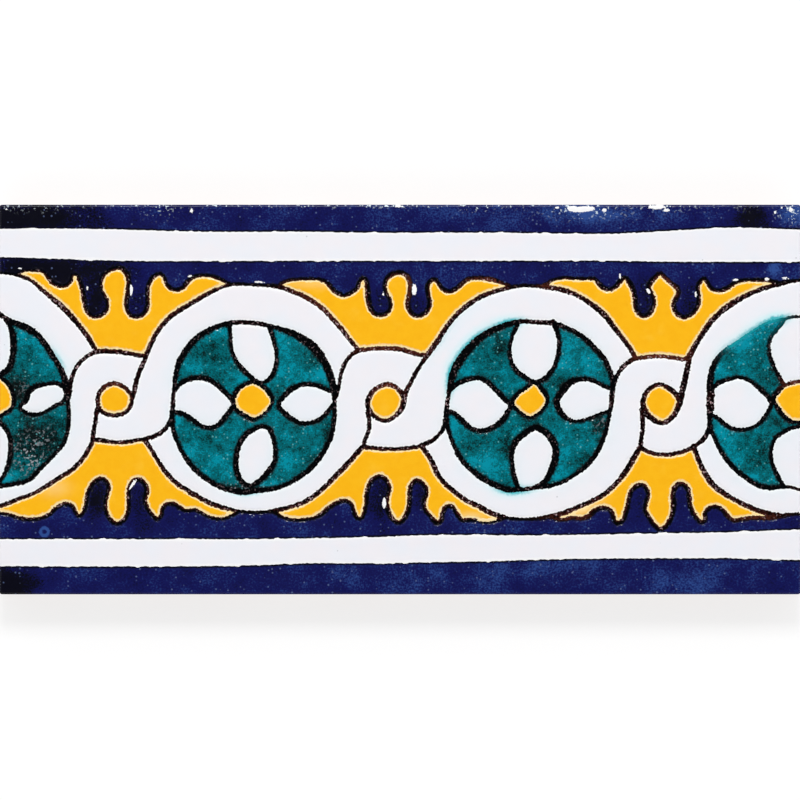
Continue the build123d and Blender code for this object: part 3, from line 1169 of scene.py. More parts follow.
class SharedEffects:
    """The effects that more than one finish uses, each one a node group built once."""

    def __init__(self) -> None:
        """Build the groups."""
        self.mottling = self._mottling()
        self.rim = self._rim()
        self.specks = self._specks()

    @staticmethod
    def _new(name: str, inputs: dict[str, float]) -> tuple[Wiring, bpy.types.Node, bpy.types.Node]:
        """Start a node group that gives one value.

        Args:
            name: The group's name.
            inputs: The names of its inputs and their usual values.

        Returns:
            The wiring of its tree, its input node and its output node.
        """
        tree = bpy.data.node_groups.new(name, "ShaderNodeTree")
        for key, value in inputs.items():
            socket = tree.interface.new_socket(key, in_out="INPUT", socket_type="NodeSocketFloat")
            socket.default_value = value
        tree.interface.new_socket("Value", in_out="OUTPUT", socket_type="NodeSocketFloat")
        wiring = Wiring(tree)
        return wiring, wiring.add("NodeGroupInput"), wiring.add("NodeGroupOutput")

    @staticmethod
    def _place(wiring: Wiring, size: bpy.types.NodeSocket,
               shift: bpy.types.NodeSocket) -> bpy.types.NodeSocket:
        """Give the place on the object in steps of a size in millimetres, shifted sideways."""
        position = wiring.add("ShaderNodeTexCoord").outputs["Object"]
        steps = wiring.calc("DIVIDE", 1 / METRES_PER_MM, size)
        scaled = wiring.add("ShaderNodeVectorMath", {0: position, "Scale": steps}, operation="SCALE")
        return wiring.add("ShaderNodeVectorMath", {0: scaled.outputs[0], 1: shift},
                          operation="ADD").outputs[0]

    def _mottling(self) -> bpy.types.NodeTree:
        """Build soft clouds whose size is in millimetres, stretched between a low and a high share."""
        wiring, given, result = self._new("Mottling", {
            "Size": 3.0, "Shift": 0.0, "Detail": 2.0, "Low": 0.35, "High": 0.65})
        place = self._place(wiring, given.outputs["Size"], given.outputs["Shift"])
        noise = wiring.add("ShaderNodeTexNoise", {
            "Vector": place, "Scale": 1.0, "Detail": given.outputs["Detail"], "Roughness": 0.55})
        value = wiring.ramp(noise.outputs["Fac"], given.outputs["Low"], given.outputs["High"])
        wiring.feed(result.inputs[0], value)
        return wiring.tree

    def _rim(self) -> bpy.types.NodeTree:
        """Build the band beside a line where the glaze is thin, 1 at the line and 0 past its reach."""
        wiring, given, result = self._new("Thin rim", {
            "Gap": 0.0, "Start": 0.0, "Reach": 0.5, "Unevenness": 0.2, "Size": 1.2, "Shift": 0.0})
        place = self._place(wiring, given.outputs["Size"], given.outputs["Shift"])
        noise = wiring.add("ShaderNodeTexNoise", {"Vector": place, "Scale": 1.0, "Detail": 2.0})
        waver = wiring.calc("SUBTRACT", noise.outputs["Fac"], 0.5)
        waver = wiring.calc("MULTIPLY", waver, given.outputs["Unevenness"])
        gap = wiring.calc("ADD", given.outputs["Gap"], waver)
        value = wiring.ramp(gap, given.outputs["Start"], given.outputs["Reach"], 1.0, 0.0)
        wiring.feed(result.inputs[0], value)
        return wiring.tree

    def _specks(self) -> bpy.types.NodeTree:
        """Build scattered round specks, one in each square of the size for the share that has one."""
        wiring, given, result = self._new("Specks", {
            "Size": 1.0, "Shift": 0.0, "Share": 0.2, "Radius": 0.25, "Softness": 0.15})
        place = self._place(wiring, given.outputs["Size"], given.outputs["Shift"])
        cell = wiring.add("ShaderNodeTexVoronoi", {"Vector": place, "Scale": 1.0, "Randomness": 0.9})
        lot = wiring.add("ShaderNodeSeparateColor", {"Color": cell.outputs["Color"]})
        chosen = wiring.calc("LESS_THAN", lot.outputs["Red"], given.outputs["Share"])
        radius = wiring.calc("MULTIPLY", given.outputs["Radius"],
                             wiring.calc("MULTIPLY_ADD", lot.outputs["Green"], 0.8, 0.4))
        outer = wiring.calc("ADD", radius, given.outputs["Softness"])
        dot = wiring.ramp(cell.outputs["Distance"], radius, outer, 1.0, 0.0)
        wiring.feed(result.inputs[0], wiring.calc("MULTIPLY", dot, chosen))
        return wiring.tree


Colour = tuple[float, float, float]


class Coat(Wiring):
    """The wiring of one material: tints laid one over the other, with the shared effects as masks."""

    def __init__(self, tree: bpy.types.NodeTree, effects: SharedEffects, colour: Colour) -> None:
        """Start with a plain colour."""
        super().__init__(tree)
        self.effects = effects
        self.colour: object = colour

    def mottling(self, **inputs: object) -> bpy.types.NodeSocket:
        """Make soft clouds."""
        return self.group(self.effects.mottling, **inputs)

    def rim(self, gap: str, **inputs: object) -> bpy.types.NodeSocket:
        """Make the band beside whatever a noted gap is measured from."""
        return self.group(self.effects.rim, gap=self.noted(gap), **inputs)

    def specks(self, **inputs: object) -> bpy.types.NodeSocket:
        """Make scattered specks."""
        return self.group(self.effects.specks, **inputs)

    def lightness(self, start: float, *clouds: tuple[float, dict[str, float]]) -> bpy.types.NodeSocket:
        """Add clouds, each with its weight, and the noted shade to a starting value.

        Args:
            start: The starting value.
            clouds: The weight of each layer of clouds and the inputs of its mottling.

        Returns:
            How much lighter or darker than usual the glaze is.
        """
        light: object = start
        for weight, cloud in clouds:
            light = self.calc("MULTIPLY_ADD", self.mottling(**cloud), weight, light)
        return self.calc("ADD", light, self.noted("shade"))

    def lay(self, tint: Colour, mask: object, strength: float | str = 1.0) -> None:
        """Lay a tint over the colour so far.

        Args:
            tint: The tint.
            mask: Where it shows.
            strength: How much of it shows there, as a number or as the name of a noted value.
        """
        if isinstance(strength, str):
            mask = self.calc("MULTIPLY CLAMP", mask, self.noted(strength))
        elif strength != 1.0:
            mask = self.calc("MULTIPLY", mask, strength)
        self.colour = self.mix(mask, self.colour, tint)


@dataclass(frozen=True)
class Finish:
    """A material's plain values, and the gloss and ripples that every finish of the tile has.

    The roughness wanders by its spread. A glaze runs thin and dry on the arris, where it is rougher
    by dry_arris and mirrors less, up to full_from inside the outline, in millimetres.
    """

    name: str
    colour: Colour
    roughness: float
    spread: float
    ripple: float
    ripple_size: float
    dry_arris: float = 0.5
    dry_from: float = 0.1
    mirror: float = 0.5
    dull_mirror: float = 0.05
    dull_from: float = 0.15
    full_from: float = 0.6
    refraction: float = 1.5

    def paint(self, coat: Coat) -> bpy.types.NodeSocket | None:
        """Lay the tints of the finish.

        Args:
            coat: The material's wiring.

        Returns:
            The mask of its pits, if it has any.
        """
        raise NotImplementedError

    def build(self, effects: SharedEffects) -> bpy.types.Material:
        """Make the material.

        Args:
            effects: The shared node groups.

        Returns:
            The material.
        """
        material = bpy.data.materials.new(self.name)
        material.use_nodes = True
        material.node_tree.nodes.clear()
        coat = Coat(material.node_tree, effects, self.colour)
        pits = self.paint(coat)
        height = coat.mottling(size=self.ripple_size, detail=3.0, low=0.2, high=0.8)
        if pits is not None:
            height = coat.calc("SUBTRACT", height, pits)
        bump = coat.add("ShaderNodeBump", {
            "Strength": 1.0, "Distance": self.ripple * METRES_PER_MM, "Height": height})
        cloud = coat.mottling(size=6.0, shift=40.0, low=0.3, high=0.7)
        roughness = coat.calc("MULTIPLY_ADD", cloud, self.spread, self.roughness - self.spread / 2)
        mirror = self.mirror
        if self.dry_arris:
            inset = coat.noted("inset")
            dryness = coat.ramp(inset, self.dry_from, self.full_from, self.dry_arris, 0.0)
            roughness = coat.calc("ADD", roughness, dryness)
            mirror = coat.ramp(inset, self.dull_from, self.full_from, self.dull_mirror, self.mirror)
        shader = coat.add("ShaderNodeBsdfPrincipled", {
            "Base Color": coat.colour, "Roughness": roughness, "IOR": self.refraction,
            "Specular IOR Level": mirror, "Normal": bump.outputs[0]})
        coat.add("ShaderNodeOutputMaterial", {"Surface": shader.outputs[0]})
        return material


@dataclass(frozen=True)
class WhiteGlaze(Finish):
    """Tin white, faintly cool, with a bluish cast where copper fumed it in the kiln."""

    name: str = "white_glaze"
    colour: Colour = (0.865, 0.88, 0.935)
    roughness: float = 0.16
    spread: float = 0.06
    ripple: float = 0.006
    ripple_size: float = 2.5
    warm: Colour = (0.895, 0.875, 0.915)
    fumed: Colour = (0.73, 0.865, 0.9)
    misted: Colour = (0.62, 0.89, 0.94)
    bled: Colour = (0.07, 0.50, 0.56)
    cream: Colour = (0.98, 0.78, 0.42)
    soot: Colour = (0.42, 0.42, 0.44)
    edge: Colour = (0.98, 0.98, 0.98)

    def paint(self, coat: Coat) -> bpy.types.NodeSocket | None:
        """Cloud the white, and add a painted highlight along its edges, the copper's fume and bleed, cream
        and pits.
        """
        coat.lay(self.warm, coat.mottling(size=7.0, shift=3.0, low=0.3, high=0.7))
        # A painted highlight: the white lifts to near pure white in a band along its edges
        coat.lay(self.edge, coat.rim("edge_gap", start=0.35, reach=1.0, unevenness=0.5, size=1.6), 0.9)
        coat.lay(self.fumed, coat.rim("copper_gap", reach=5.0, unevenness=3.0, size=3.0), 0.35)
        for reach, size, tint in ((3.0, 1.6, self.misted), (1.1, 0.6, self.bled)):
            bleed = coat.rim("line_gap", start=0.05, reach=reach, unevenness=0.9, size=size, shift=9.0)
            coat.lay(tint, bleed, "bleed")
        coat.lay(self.cream, coat.noted("cream"))
        pits = coat.specks(size=2.6, share=0.10, radius=0.05, softness=0.05)
        coat.lay(self.soot, pits, 0.55)
        return pits


@dataclass(frozen=True)
class AmberGlaze(Finish):
    """Iron amber that runs thin and cream beside its lines."""

    name: str = "amber_glaze"
    colour: Colour = (0.99, 0.50, 0.010)
    roughness: float = 0.16
    spread: float = 0.06
    ripple: float = 0.006
    ripple_size: float = 2.5
    deep: Colour = (0.95, 0.42, 0.004)
    pale: Colour = (1.0, 0.57, 0.04)
    cream: Colour = (1.0, 0.82, 0.46)

    def paint(self, coat: Coat) -> bpy.types.NodeSocket | None:
        """Cloud the amber, and let it run thin by the lines, more so where it drained away."""
        coat.lay(self.deep, coat.mottling(size=2.2, shift=5.0, detail=3.0, low=0.3, high=0.72), 0.35)
        coat.lay(self.pale, coat.mottling(size=4.5, shift=15.0, low=0.5, high=0.8), 0.4)
        reach = coat.calc("MULTIPLY_ADD", coat.noted("drained"), 0.3, 0.52)
        thin = coat.rim("line_gap", start=0.2, reach=reach, unevenness=0.5, size=1.2)
        thin = coat.calc("MAXIMUM", coat.calc("MULTIPLY", thin, 0.9), coat.noted("pale"))
        coat.lay(self.cream, thin)
        return None


@dataclass(frozen=True)
class CopperGlaze(Finish):
    """Copper green, clouded from bright turquoise to black green."""

    name: str = "copper_green_glaze"
    colour: Colour = (0.0, 0.125, 0.15)
    roughness: float = 0.18
    spread: float = 0.08
    ripple: float = 0.006
    ripple_size: float = 2.0
    bright: Colour = (0.0, 0.27, 0.36)
    dark: Colour = (0.0, 0.034, 0.036)
    black: Colour = (0.001, 0.005, 0.005)
    flecked: Colour = (0.14, 0.50, 0.52)
    ash: Colour = (0.40, 0.42, 0.46)

    def paint(self, coat: Coat) -> bpy.types.NodeSocket | None:
        """Cloud the green, and add its dark edge, except by a washed line, flecks and ash."""
        light = coat.lightness(
            -1.1, (0.7, dict(size=1.2, shift=2.0, detail=2.0, low=0.25, high=0.75)),
            (0.6, dict(size=3.5, shift=21.0, detail=1.0, low=0.25, high=0.75)),
            (1.0, dict(size=0.4, shift=12.0, detail=1.0, low=0.2, high=0.8)))
        coat.lay(self.bright, coat.ramp(light, 0.0, 0.9))
        coat.lay(self.dark, coat.ramp(light, 0.05, -0.75))
        coat.lay(self.black, coat.ramp(light, -0.6, -1.4))
        edge = coat.rim("line_gap", reach=0.55, unevenness=0.9, size=0.5)
        kept = coat.calc("MULTIPLY_ADD", coat.noted("washed"), -0.9, 0.9)
        coat.lay(self.black, coat.calc("MULTIPLY", edge, kept))
        coat.lay(self.flecked, coat.specks(size=0.9, share=0.32, radius=0.12, softness=0.24), 0.6)
        coat.lay(self.ash, coat.mottling(size=0.75, shift=33.0, detail=2.0, low=0.54, high=0.66), "ash")
        return None


@dataclass(frozen=True)
class CobaltGlaze(Finish):
    """Cobalt blue, grained, black where it lies thick and brighter where it runs thin, with a painted
    sheen of the light along the upper band.
    """

    name: str = "cobalt_glaze"
    colour: Colour = (0.0055, 0.0068, 0.084)
    roughness: float = 0.18
    spread: float = 0.08
    ripple: float = 0.008
    ripple_size: float = 2.0
    black: Colour = (0.002, 0.002, 0.007)
    bright: Colour = (0.026, 0.07, 0.27)
    flecked: Colour = (0.12, 0.17, 0.34)
    sparkling: Colour = (0.80, 0.92, 0.97)
    rim: Colour = (0.002, 0.002, 0.010)

    def paint(self, coat: Coat) -> bpy.types.NodeSocket | None:
        """Cloud the cobalt, and add its dark edge, flecks and painted glints on the upper arris."""
        light = coat.lightness(
            -0.63, (0.4, dict(size=9.0, shift=31.0, low=0.35, high=0.65)),
            (0.65, dict(size=0.5, shift=7.0, detail=2.0, low=0.25, high=0.75)),
            (0.26, dict(size=2.2, shift=17.0, detail=3.0, low=0.25, high=0.75)))
        coat.lay(self.bright, coat.ramp(light, 0.0, 1.0))
        coat.lay(self.black, coat.ramp(light, 0.0, -0.9))
        edge = coat.rim("line_gap", reach=0.45, unevenness=0.3)
        stripe_edge = coat.rim("stripe_gap", reach=0.4, unevenness=0.2)
        coat.lay(self.rim, coat.calc("MAXIMUM", edge, stripe_edge))
        specks = coat.specks(size=1.0, share=0.22, radius=0.1, softness=0.24)
        coat.lay(self.flecked, specks, 0.6)
        # Painted glints: pale cyan spots on the upper arris, where the light from beyond the upper edge
        # glances off
        painted_glints = coat.mottling(size=0.65, shift=53.0, detail=2.0, low=0.6, high=0.67)
        coat.lay(self.sparkling, painted_glints, "sparkle")
        return specks


@dataclass(frozen=True)
class ResistLine(Finish):
    """The matt manganese line: maroon by white, rusty by amber, black by copper and cobalt."""

    name: str = "resist_line"
    colour: Colour = (0.0018, 0.0006, 0.0007)
    roughness: float = 0.75
    spread: float = 0.1
    ripple: float = 0.05
    ripple_size: float = 0.5
    dry_arris: float = 0.0
    mirror: float = 0.015
    rust: Colour = (0.15, 0.034, 0.018)
    black: Colour = (0.001, 0.0015, 0.002)
    scum: Colour = (0.58, 0.40, 0.42)
    maroon: Colour = (0.05, 0.011, 0.011)
    washed: Colour = (0.01, 0.30, 0.35)

    def paint(self, coat: Coat) -> bpy.types.NodeSocket | None:
        """Stain the line by what lies beside it, and leave pale scum along its middle."""
        stain = coat.mottling(size=0.8, shift=71.0, detail=2.0, low=0.48, high=0.7)
        stained = coat.ramp(coat.noted("amber_gap"), 0.6, 3.0, 1.0, 0.3)
        coat.lay(self.maroon, coat.calc("MULTIPLY", stain, stained))
        coat.lay(self.rust, coat.rim("amber_gap", start=0.05, reach=0.5, unevenness=0.4, size=0.7), 0.45)
        near_copper = coat.rim("copper_gap", start=1.5, reach=2.6, unevenness=0.3)
        near_cobalt = coat.rim("cobalt_gap", start=0.2, reach=0.75, unevenness=0.4, size=0.7)
        inky = coat.calc("MAXIMUM", near_copper, near_cobalt)
        coat.lay(self.black, inky)
        coat.lay(self.rust, coat.mottling(size=0.6, shift=19.0, detail=1.0, low=0.3, high=0.6), "rusty")
        scum = coat.mottling(size=0.5, shift=11.0, detail=1.0, low=0.62, high=0.7)
        where = coat.mottling(size=6.0, shift=61.0, low=0.35, high=0.65)
        amount = coat.calc("MULTIPLY_ADD", where, 0.5, coat.calc("ADD", coat.noted("scummed"), 0.4))
        amount = coat.calc("MULTIPLY", amount, coat.ramp(coat.noted("line_gap"), 0.0, -0.3, 0.3, 1.0))
        dry = coat.calc("SUBTRACT CLAMP", 1.0, coat.calc("MULTIPLY", inky, 0.75))
        coat.lay(self.scum, coat.calc("MULTIPLY CLAMP", scum, coat.calc("MULTIPLY", amount, dry)))
        coat.lay(self.washed, coat.noted("washed"))
        return None


@dataclass(frozen=True)
class Bisque(Finish):
    """Fired red clay with pale grog and a dusty bloom."""

    name: str = "bisque"
    colour: Colour = (0.56, 0.27, 0.16)
    roughness: float = 0.85
    spread: float = 0.1
    ripple: float = 0.06
    ripple_size: float = 0.8
    dry_arris: float = 0.0
    bloom: Colour = (0.66, 0.50, 0.40)
    grog: Colour = (0.75, 0.62, 0.52)
    dark: Colour = (0.36, 0.16, 0.09)

    def paint(self, coat: Coat) -> bpy.types.NodeSocket | None:
        """Bloom and grain the clay, and scatter its grog."""
        coat.lay(self.bloom, coat.mottling(size=14.0, shift=8.0, detail=4.0, low=0.4, high=0.7), 0.7)
        coat.lay(self.dark, coat.mottling(size=0.9, shift=4.0, detail=4.0, low=0.35, high=0.75), 0.35)
        grog = coat.specks(size=1.4, share=0.3, radius=0.14, softness=0.08)
        coat.lay(self.grog, grog, 0.6)
        return grog


@dataclass(frozen=True)
class Studio:
    """The floor, the lamp, the sky and the camera."""

    floor_side: float = 3.0
    floor_colour: Colour = (0.32, 0.32, 0.32)
    floor_lift: float = 0.70
    sky_overhead: float = 0.05
    sky_around: float = 1.02
    sky_dim_within: float = 28.0
    sky_bright_past: float = 45.0
    lamp_distance: float = 2.0
    lamp_side: float = 0.5
    lamp_elevation: float = 48.0
    lamp_watts: float = 19.5
    camera_distance: float = 2.0
    framed_length: float = 0.1997
    view_middle: float = -0.000125
    sensor: float = 36.0

    def build_floor(self) -> None:
        """Lay the grey floor, which is lifted to white for the eye and in reflections."""
        half = self.floor_side / 2
        mesh = bpy.data.meshes.new("floor")
        mesh.from_pydata([(-half, -half, 0), (half, -half, 0), (half, half, 0), (-half, half, 0)], [],
                         [(0, 1, 2, 3)])
        material = bpy.data.materials.new("floor_paint")
        material.use_nodes = True
        material.node_tree.nodes.clear()
        wiring = Wiring(material.node_tree)
        path = wiring.add("ShaderNodeLightPath")
        seen = path.outputs["Is Camera Ray"]
        for ray in ("Is Glossy Ray", "Is Transmission Ray"):
            seen = wiring.calc("MAXIMUM", seen, path.outputs[ray])
        shader = wiring.add("ShaderNodeBsdfPrincipled", {
            "Base Color": self.floor_colour, "Roughness": 0.9, "Specular IOR Level": 0.1,
            "Emission Color": (1.0, 1.0, 1.0),
            "Emission Strength": wiring.calc("MULTIPLY", seen, self.floor_lift)})
        wiring.add("ShaderNodeOutputMaterial", {"Surface": shader.outputs[0]})
        mesh.materials.append(material)
        floor = bpy.data.objects.new("floor", mesh)
        bpy.context.scene.collection.objects.link(floor)

    def build_lamp(self) -> None:
        """Hang a small soft lamp beyond the upper long edge, pointing at the tile."""
        lamp = bpy.data.lights.new("lamp", "AREA")
        lamp.energy = self.lamp_watts
        lamp.size = self.lamp_side
        elevation = math.radians(self.lamp_elevation)
        towards = Vector((0.0, math.cos(elevation), math.sin(elevation)))
        holder = bpy.data.objects.new("lamp", lamp)
        holder.location = towards * self.lamp_distance
        holder.rotation_euler = towards.to_track_quat("Z", "Y").to_euler()
        bpy.context.scene.collection.objects.link(holder)

    def build_sky(self) -> None:
        """Light the tile evenly from all round, and dimly from overhead, which flat glaze mirrors."""
        world = bpy.data.worlds.new("sky")
        bpy.context.scene.world = world
        world.use_nodes = True
        world.node_tree.nodes.clear()
        wiring = Wiring(world.node_tree)
        direction = wiring.add("ShaderNodeTexCoord").outputs["Generated"]
        height = wiring.add("ShaderNodeSeparateXYZ", {0: direction}).outputs["Z"]
        strength = wiring.ramp(height, math.cos(math.radians(self.sky_bright_past)),
                               math.cos(math.radians(self.sky_dim_within)), self.sky_around,
                               self.sky_overhead)
        light = wiring.add("ShaderNodeBackground", {"Color": (1.0, 1.0, 1.0), "Strength": strength})
        wiring.add("ShaderNodeOutputWorld", {"Surface": light.outputs[0]})

    def build_camera(self, form: TileForm) -> None:
        """Hang the camera over the tile, whose length fills the picture, half a pixel below its middle."""
        lens = bpy.data.cameras.new("camera")
        lens.sensor_width = self.sensor
        lens.lens = self.sensor * self.camera_distance / self.framed_length
        lens.clip_end = 10.0
        camera = bpy.data.objects.new("camera", lens)
        outline_height = (form.thickness - form.arris_radius) * METRES_PER_MM
        camera.location = (0.0, self.view_middle, outline_height + self.camera_distance)
        bpy.context.scene.collection.objects.link(camera)
        bpy.context.scene.camera = camera

    def build(self, form: TileForm) -> None:
        """Set the whole studio up round the tile."""
        self.build_floor()
        self.build_lamp()
        self.build_sky()
        self.build_camera(form)


@dataclass
class GlazedFace:
    """Everything on the face of the tile: the resist lines and the four glazes between them."""

    painting: Painting
    effects: SharedEffects
    pool: Layer = Layer(sunk=0.14, shoulder=0.7, wave=0.02, wave_length=4.0, seed=11)
    stripe: Layer = Layer(sunk=0.06, shoulder=0.4, wave=0.015, wave_length=4.0, seed=12)
    slip: Layer = Layer(sunk=0.08, shoulder=0.3, wave=0.01, wave_length=1.0, seed=13)
    line: Layer = Layer(sunk=0.0, shoulder=0.6, wave=0.03, wave_length=0.9, seed=14, level=0.19)
    highlight_band_from: float = 0.3
    glints_above: float = 0.45
    bubble: Spot = Spot(45, 531, 3.8, 3.8, 1.6, is_ring=True)
    pool_weave: Weave = Weave(0.22, fine_marks=(bubble,))
    line_weave: Weave = Weave(0.26, (), 0.42)
    slip_and_glint_weave: Weave = Weave(0.2, ((0.12, 0.25),), 0.4, 0.05)
    # The cobalt's lighter and darker places: dark where it lies thick, and the lighter ones along the
    # upper band a painted sheen of the light beyond the upper edge
    cobalt_tones_and_sheen: tuple[Spot, ...] = (
        Spot(20, 217, 70, 16, -1.4), Spot(30, 275, 60, 20, -1.0), Spot(5, 585, 34, 16, -1.6),
        Spot(755, 217, 22, 14, -1.0), Spot(597, 216, 26, 13, 0.75), Spot(640, 216, 22, 8, 0.3),
        Spot(795, 214, 22, 14, 0.9), Spot(665, 212, 12, 8, 0.5), Spot(773, 268, 6, 6, 0.9),
        Spot(500, 212, 70, 12, 0.4), bubble,
        Spot(380, 500, 12, 30, -0.8), Spot(640, 500, 12, 26, -0.5), Spot(140, 500, 12, 26, -0.7),
        Spot(97, 305, 12, 20, -1.1), Spot(138, 305, 12, 18, -0.7), Spot(100, 268, 60, 12, -0.5),
        Spot(380, 305, 14, 18, -0.5),
        Spot(420, 306, 12, 16, -0.4), Spot(645, 300, 14, 22, -0.7), Spot(688, 300, 12, 18, -0.6),
        Spot(97, 498, 12, 26, -1.0), Spot(420, 498, 10, 20, -0.4), Spot(680, 500, 10, 22, -0.4),
        Spot(600, 560, 160, 22, 0.25), Spot(400, 580, 120, 12, 0.15), Spot(680, 585, 60, 10, 0.3),
    )
    green_shades: tuple[Spot, ...] = (
        # The disc that the left end cuts
        Spot(34, 337, 13, 10, 0.5), Spot(57, 360, 7, 10, 0.9), Spot(18, 390, 12, 18, -1.3),
        Spot(15, 411, 6, 5, 0.7), Spot(57, 414, 14, 6, 0.1), Spot(40, 440, 32, 24, -1.3),
        Spot(7, 477, 6, 7, 1.3),
        # The second disc, by its quarters: upper left, upper right, lower left and lower right
        Spot(222, 332, 14, 6, 0.5, 20), Spot(211, 352, 14, 10, -0.9), Spot(188, 366, 9, 8, 0.5),
        Spot(245, 379, 9, 6, 0.5), Spot(286, 338, 9, 12, 0.5), Spot(290, 367, 16, 8, 0.8),
        Spot(321, 374, 9, 5, 0.9), Spot(318, 352, 9, 14, -0.8, -45), Spot(177, 419, 5, 8, 0.9),
        Spot(188, 452, 7, 24, 0.7, -38), Spot(200, 440, 14, 7, -0.7), Spot(212, 463, 16, 9, 0.5),
        Spot(285, 459, 9, 10, 0.4), Spot(277, 435, 7, 9, 0.2), Spot(328, 432, 9, 18, -0.7),
        Spot(313, 462, 14, 9, -0.6), Spot(268, 483, 14, 4, 0.9), Spot(238, 488, 18, 5, -1.3),
        # The third disc
        Spot(466, 368, 9, 9, 0.6), Spot(484, 353, 10, 10, -0.6), Spot(500, 345, 7, 16, -0.9),
        Spot(568, 345, 9, 10, 0.7), Spot(558, 362, 7, 18, 0.6, 25), Spot(588, 360, 10, 9, 0.6),
        Spot(562, 384, 9, 7, -0.9), Spot(453, 427, 6, 14, 0.9), Spot(484, 463, 16, 9, 0.9),
        Spot(478, 443, 16, 7, -0.6), Spot(508, 444, 5, 12, -0.8), Spot(600, 422, 9, 12, -1.0),
        Spot(564, 451, 9, 9, 0.4), Spot(560, 471, 8, 8, 0.8), Spot(584, 462, 10, 8, -0.6),
        Spot(528, 419, 14, 5, -0.8),
        # The disc that the right end cuts
        Spot(745, 342, 15, 8, 0.8, 35), Spot(774, 323, 9, 6, 0.2), Spot(718, 369, 8, 7, 0.7),
        Spot(771, 378, 9, 14, -0.9), Spot(718, 432, 8, 16, 0.8, -25), Spot(730, 450, 12, 8, 0.6, -45),
        Spot(751, 477, 12, 6, 0.8), Spot(758, 458, 9, 16, -0.9), Spot(773, 422, 8, 9, -0.7),
    )
    ashes: tuple[Spot, ...] = (
        Spot(30, 455, 14, 17, 1.0), Spot(46, 434, 9, 8, 0.5), Spot(24, 386, 8, 10, 0.25),
        Spot(600, 423, 5, 10, 0.5), Spot(240, 487, 16, 4, 0.5))
    bleeds: tuple[Spot, ...] = (
        Spot(470, 345, 34, 20, 1.0, 45), Spot(508, 321, 14, 6, 1.0), Spot(752, 328, 34, 9, 0.8, 33),
        Spot(776, 317, 12, 6, 1.0), Spot(512, 491, 20, 7, 1.0), Spot(450, 378, 6, 16, 0.8),
        Spot(62, 356, 10, 14, 0.6), Spot(246, 491, 12, 4, 1.0),
    )
    creams: tuple[Spot, ...] = (Spot(486, 519, 12, 4, 1.5),)
    pale_ambers: tuple[Spot, ...] = (
        Spot(55, 487, 14, 8, 0.3), Spot(583, 506, 15, 7, 0.75, 18), Spot(470, 516, 12, 4, 0.5),
        Spot(318, 284, 30, 4, 0.25), Spot(775, 285, 12, 3, 0.6))
    # Where the painted glints of the cobalt lie, along its upper arris
    sparkles: tuple[Spot, ...] = (
        Spot(790, 213, 10, 8, 1.6), Spot(585, 210, 34, 6, 1.0), Spot(480, 206, 16, 3.5, 1.0),
        Spot(350, 204.6, 240, 1.8, 2.2), Spot(30, 207, 34, 3, 0.5), Spot(160, 209, 14, 7, 0.7),
        Spot(660, 207, 20, 4, 0.9), Spot(725, 205, 30, 2.5, 0.7))
    washed_lines: tuple[Spot, ...] = (Spot(758, 326, 24, 8, 2.2, 32), Spot(740, 339, 12, 8, 2.0, 35))
    rusty_lines: tuple[Spot, ...] = (
        Spot(488, 281, 20, 4, 0.9), Spot(668, 282, 11, 4, 0.7, -52), Spot(545, 286, 7, 5, 0.5),
        Spot(392, 350, 34, 6, 0.6), Spot(662, 357, 28, 6, 0.8), Spot(386, 386, 18, 6, 0.7),
        Spot(570, 517, 24, 5, 0.4), Spot(757, 517, 26, 5, 0.45), Spot(409, 288, 5, 12, 0.7),
        Spot(320, 306, 34, 8, 0.5, -35), Spot(114, 384, 16, 6, 0.5), Spot(792, 383, 14, 6, 0.6))
    scummed_lines: tuple[Spot, ...] = (
        Spot(545, 286, 8, 5, 1.0), Spot(668, 282, 12, 5, 0.8, -52), Spot(762, 281, 34, 5, 1.0),
        Spot(574, 293, 22, 6, 0.8, -20), Spot(709, 405, 5, 18, 0.7), Spot(262, 325, 20, 5, 1.0, -10),
        Spot(386, 385, 16, 6, 0.9),
        Spot(340, 402, 6, 14, 0.5), Spot(316, 350, 10, 14, 0.5, -45), Spot(392, 350, 30, 5, 0.5))

    def build(self) -> list[bpy.types.Object]:
        """Make every piece of the face.

        Returns:
            The pieces.
        """
        painting = self.painting
        cells, gap = painting.cells, painting.line_gap
        solids = {glaze: self.pool.build(glaze.value, painting, cells[glaze], gap, self.pool_weave)
                  for glaze in Glaze}
        stripes = self.stripe.build("stripes", painting, painting.stripe_cells, painting.stripe,
                                    self.pool_weave)
        # The dabs of white, painted glints among them, are meshed and take the white glaze
        slips_and_glints = self.slip.build("slips_and_glints", painting, painting.slip_and_glint_cells, painting.slip, self.slip_and_glint_weave)
        lines = self.line.build("resist_lines", painting, painting.lines, gap, self.line_weave)
        grid = painting.grid
        amber, green, cobalt = (solids[glaze] for glaze in (Glaze.AMBER, Glaze.GREEN, Glaze.COBALT))
        for solid in (*solids.values(), stripes, slips_and_glints):
            solid.note("inset", grid.read(grid.inset, solid.points))
            solid.note("line_gap", grid.read(gap, solid.points))
        # Where the painted highlight band of the white starts
        solids[Glaze.WHITE].note("edge_gap", solids[Glaze.WHITE].values["line_gap"] + self.highlight_band_from)
        stripes.note("edge_gap", grid.read(painting.stripe, stripes.points))
        slips_and_glints.note("edge_gap", grid.read(painting.slip, slips_and_glints.points))
        copper_gap = self._gap_to(green)
        whites = [solids[Glaze.WHITE], stripes, slips_and_glints]
        for solid in whites:
            solid.note("copper_gap", copper_gap(solid.points))
            solid.mark("bleed", self.bleeds)
            solid.mark("cream", self.creams, is_share=True)
        amber.note("drained", self._drained(amber.points))
        amber.mark("pale", self.pale_ambers, is_share=True)
        cobalt.note("stripe_gap", grid.read(-painting.stripe, cobalt.points))
        cobalt.mark("shade", self.cobalt_tones_and_sheen)
        cobalt.mark("sparkle", self.sparkles)
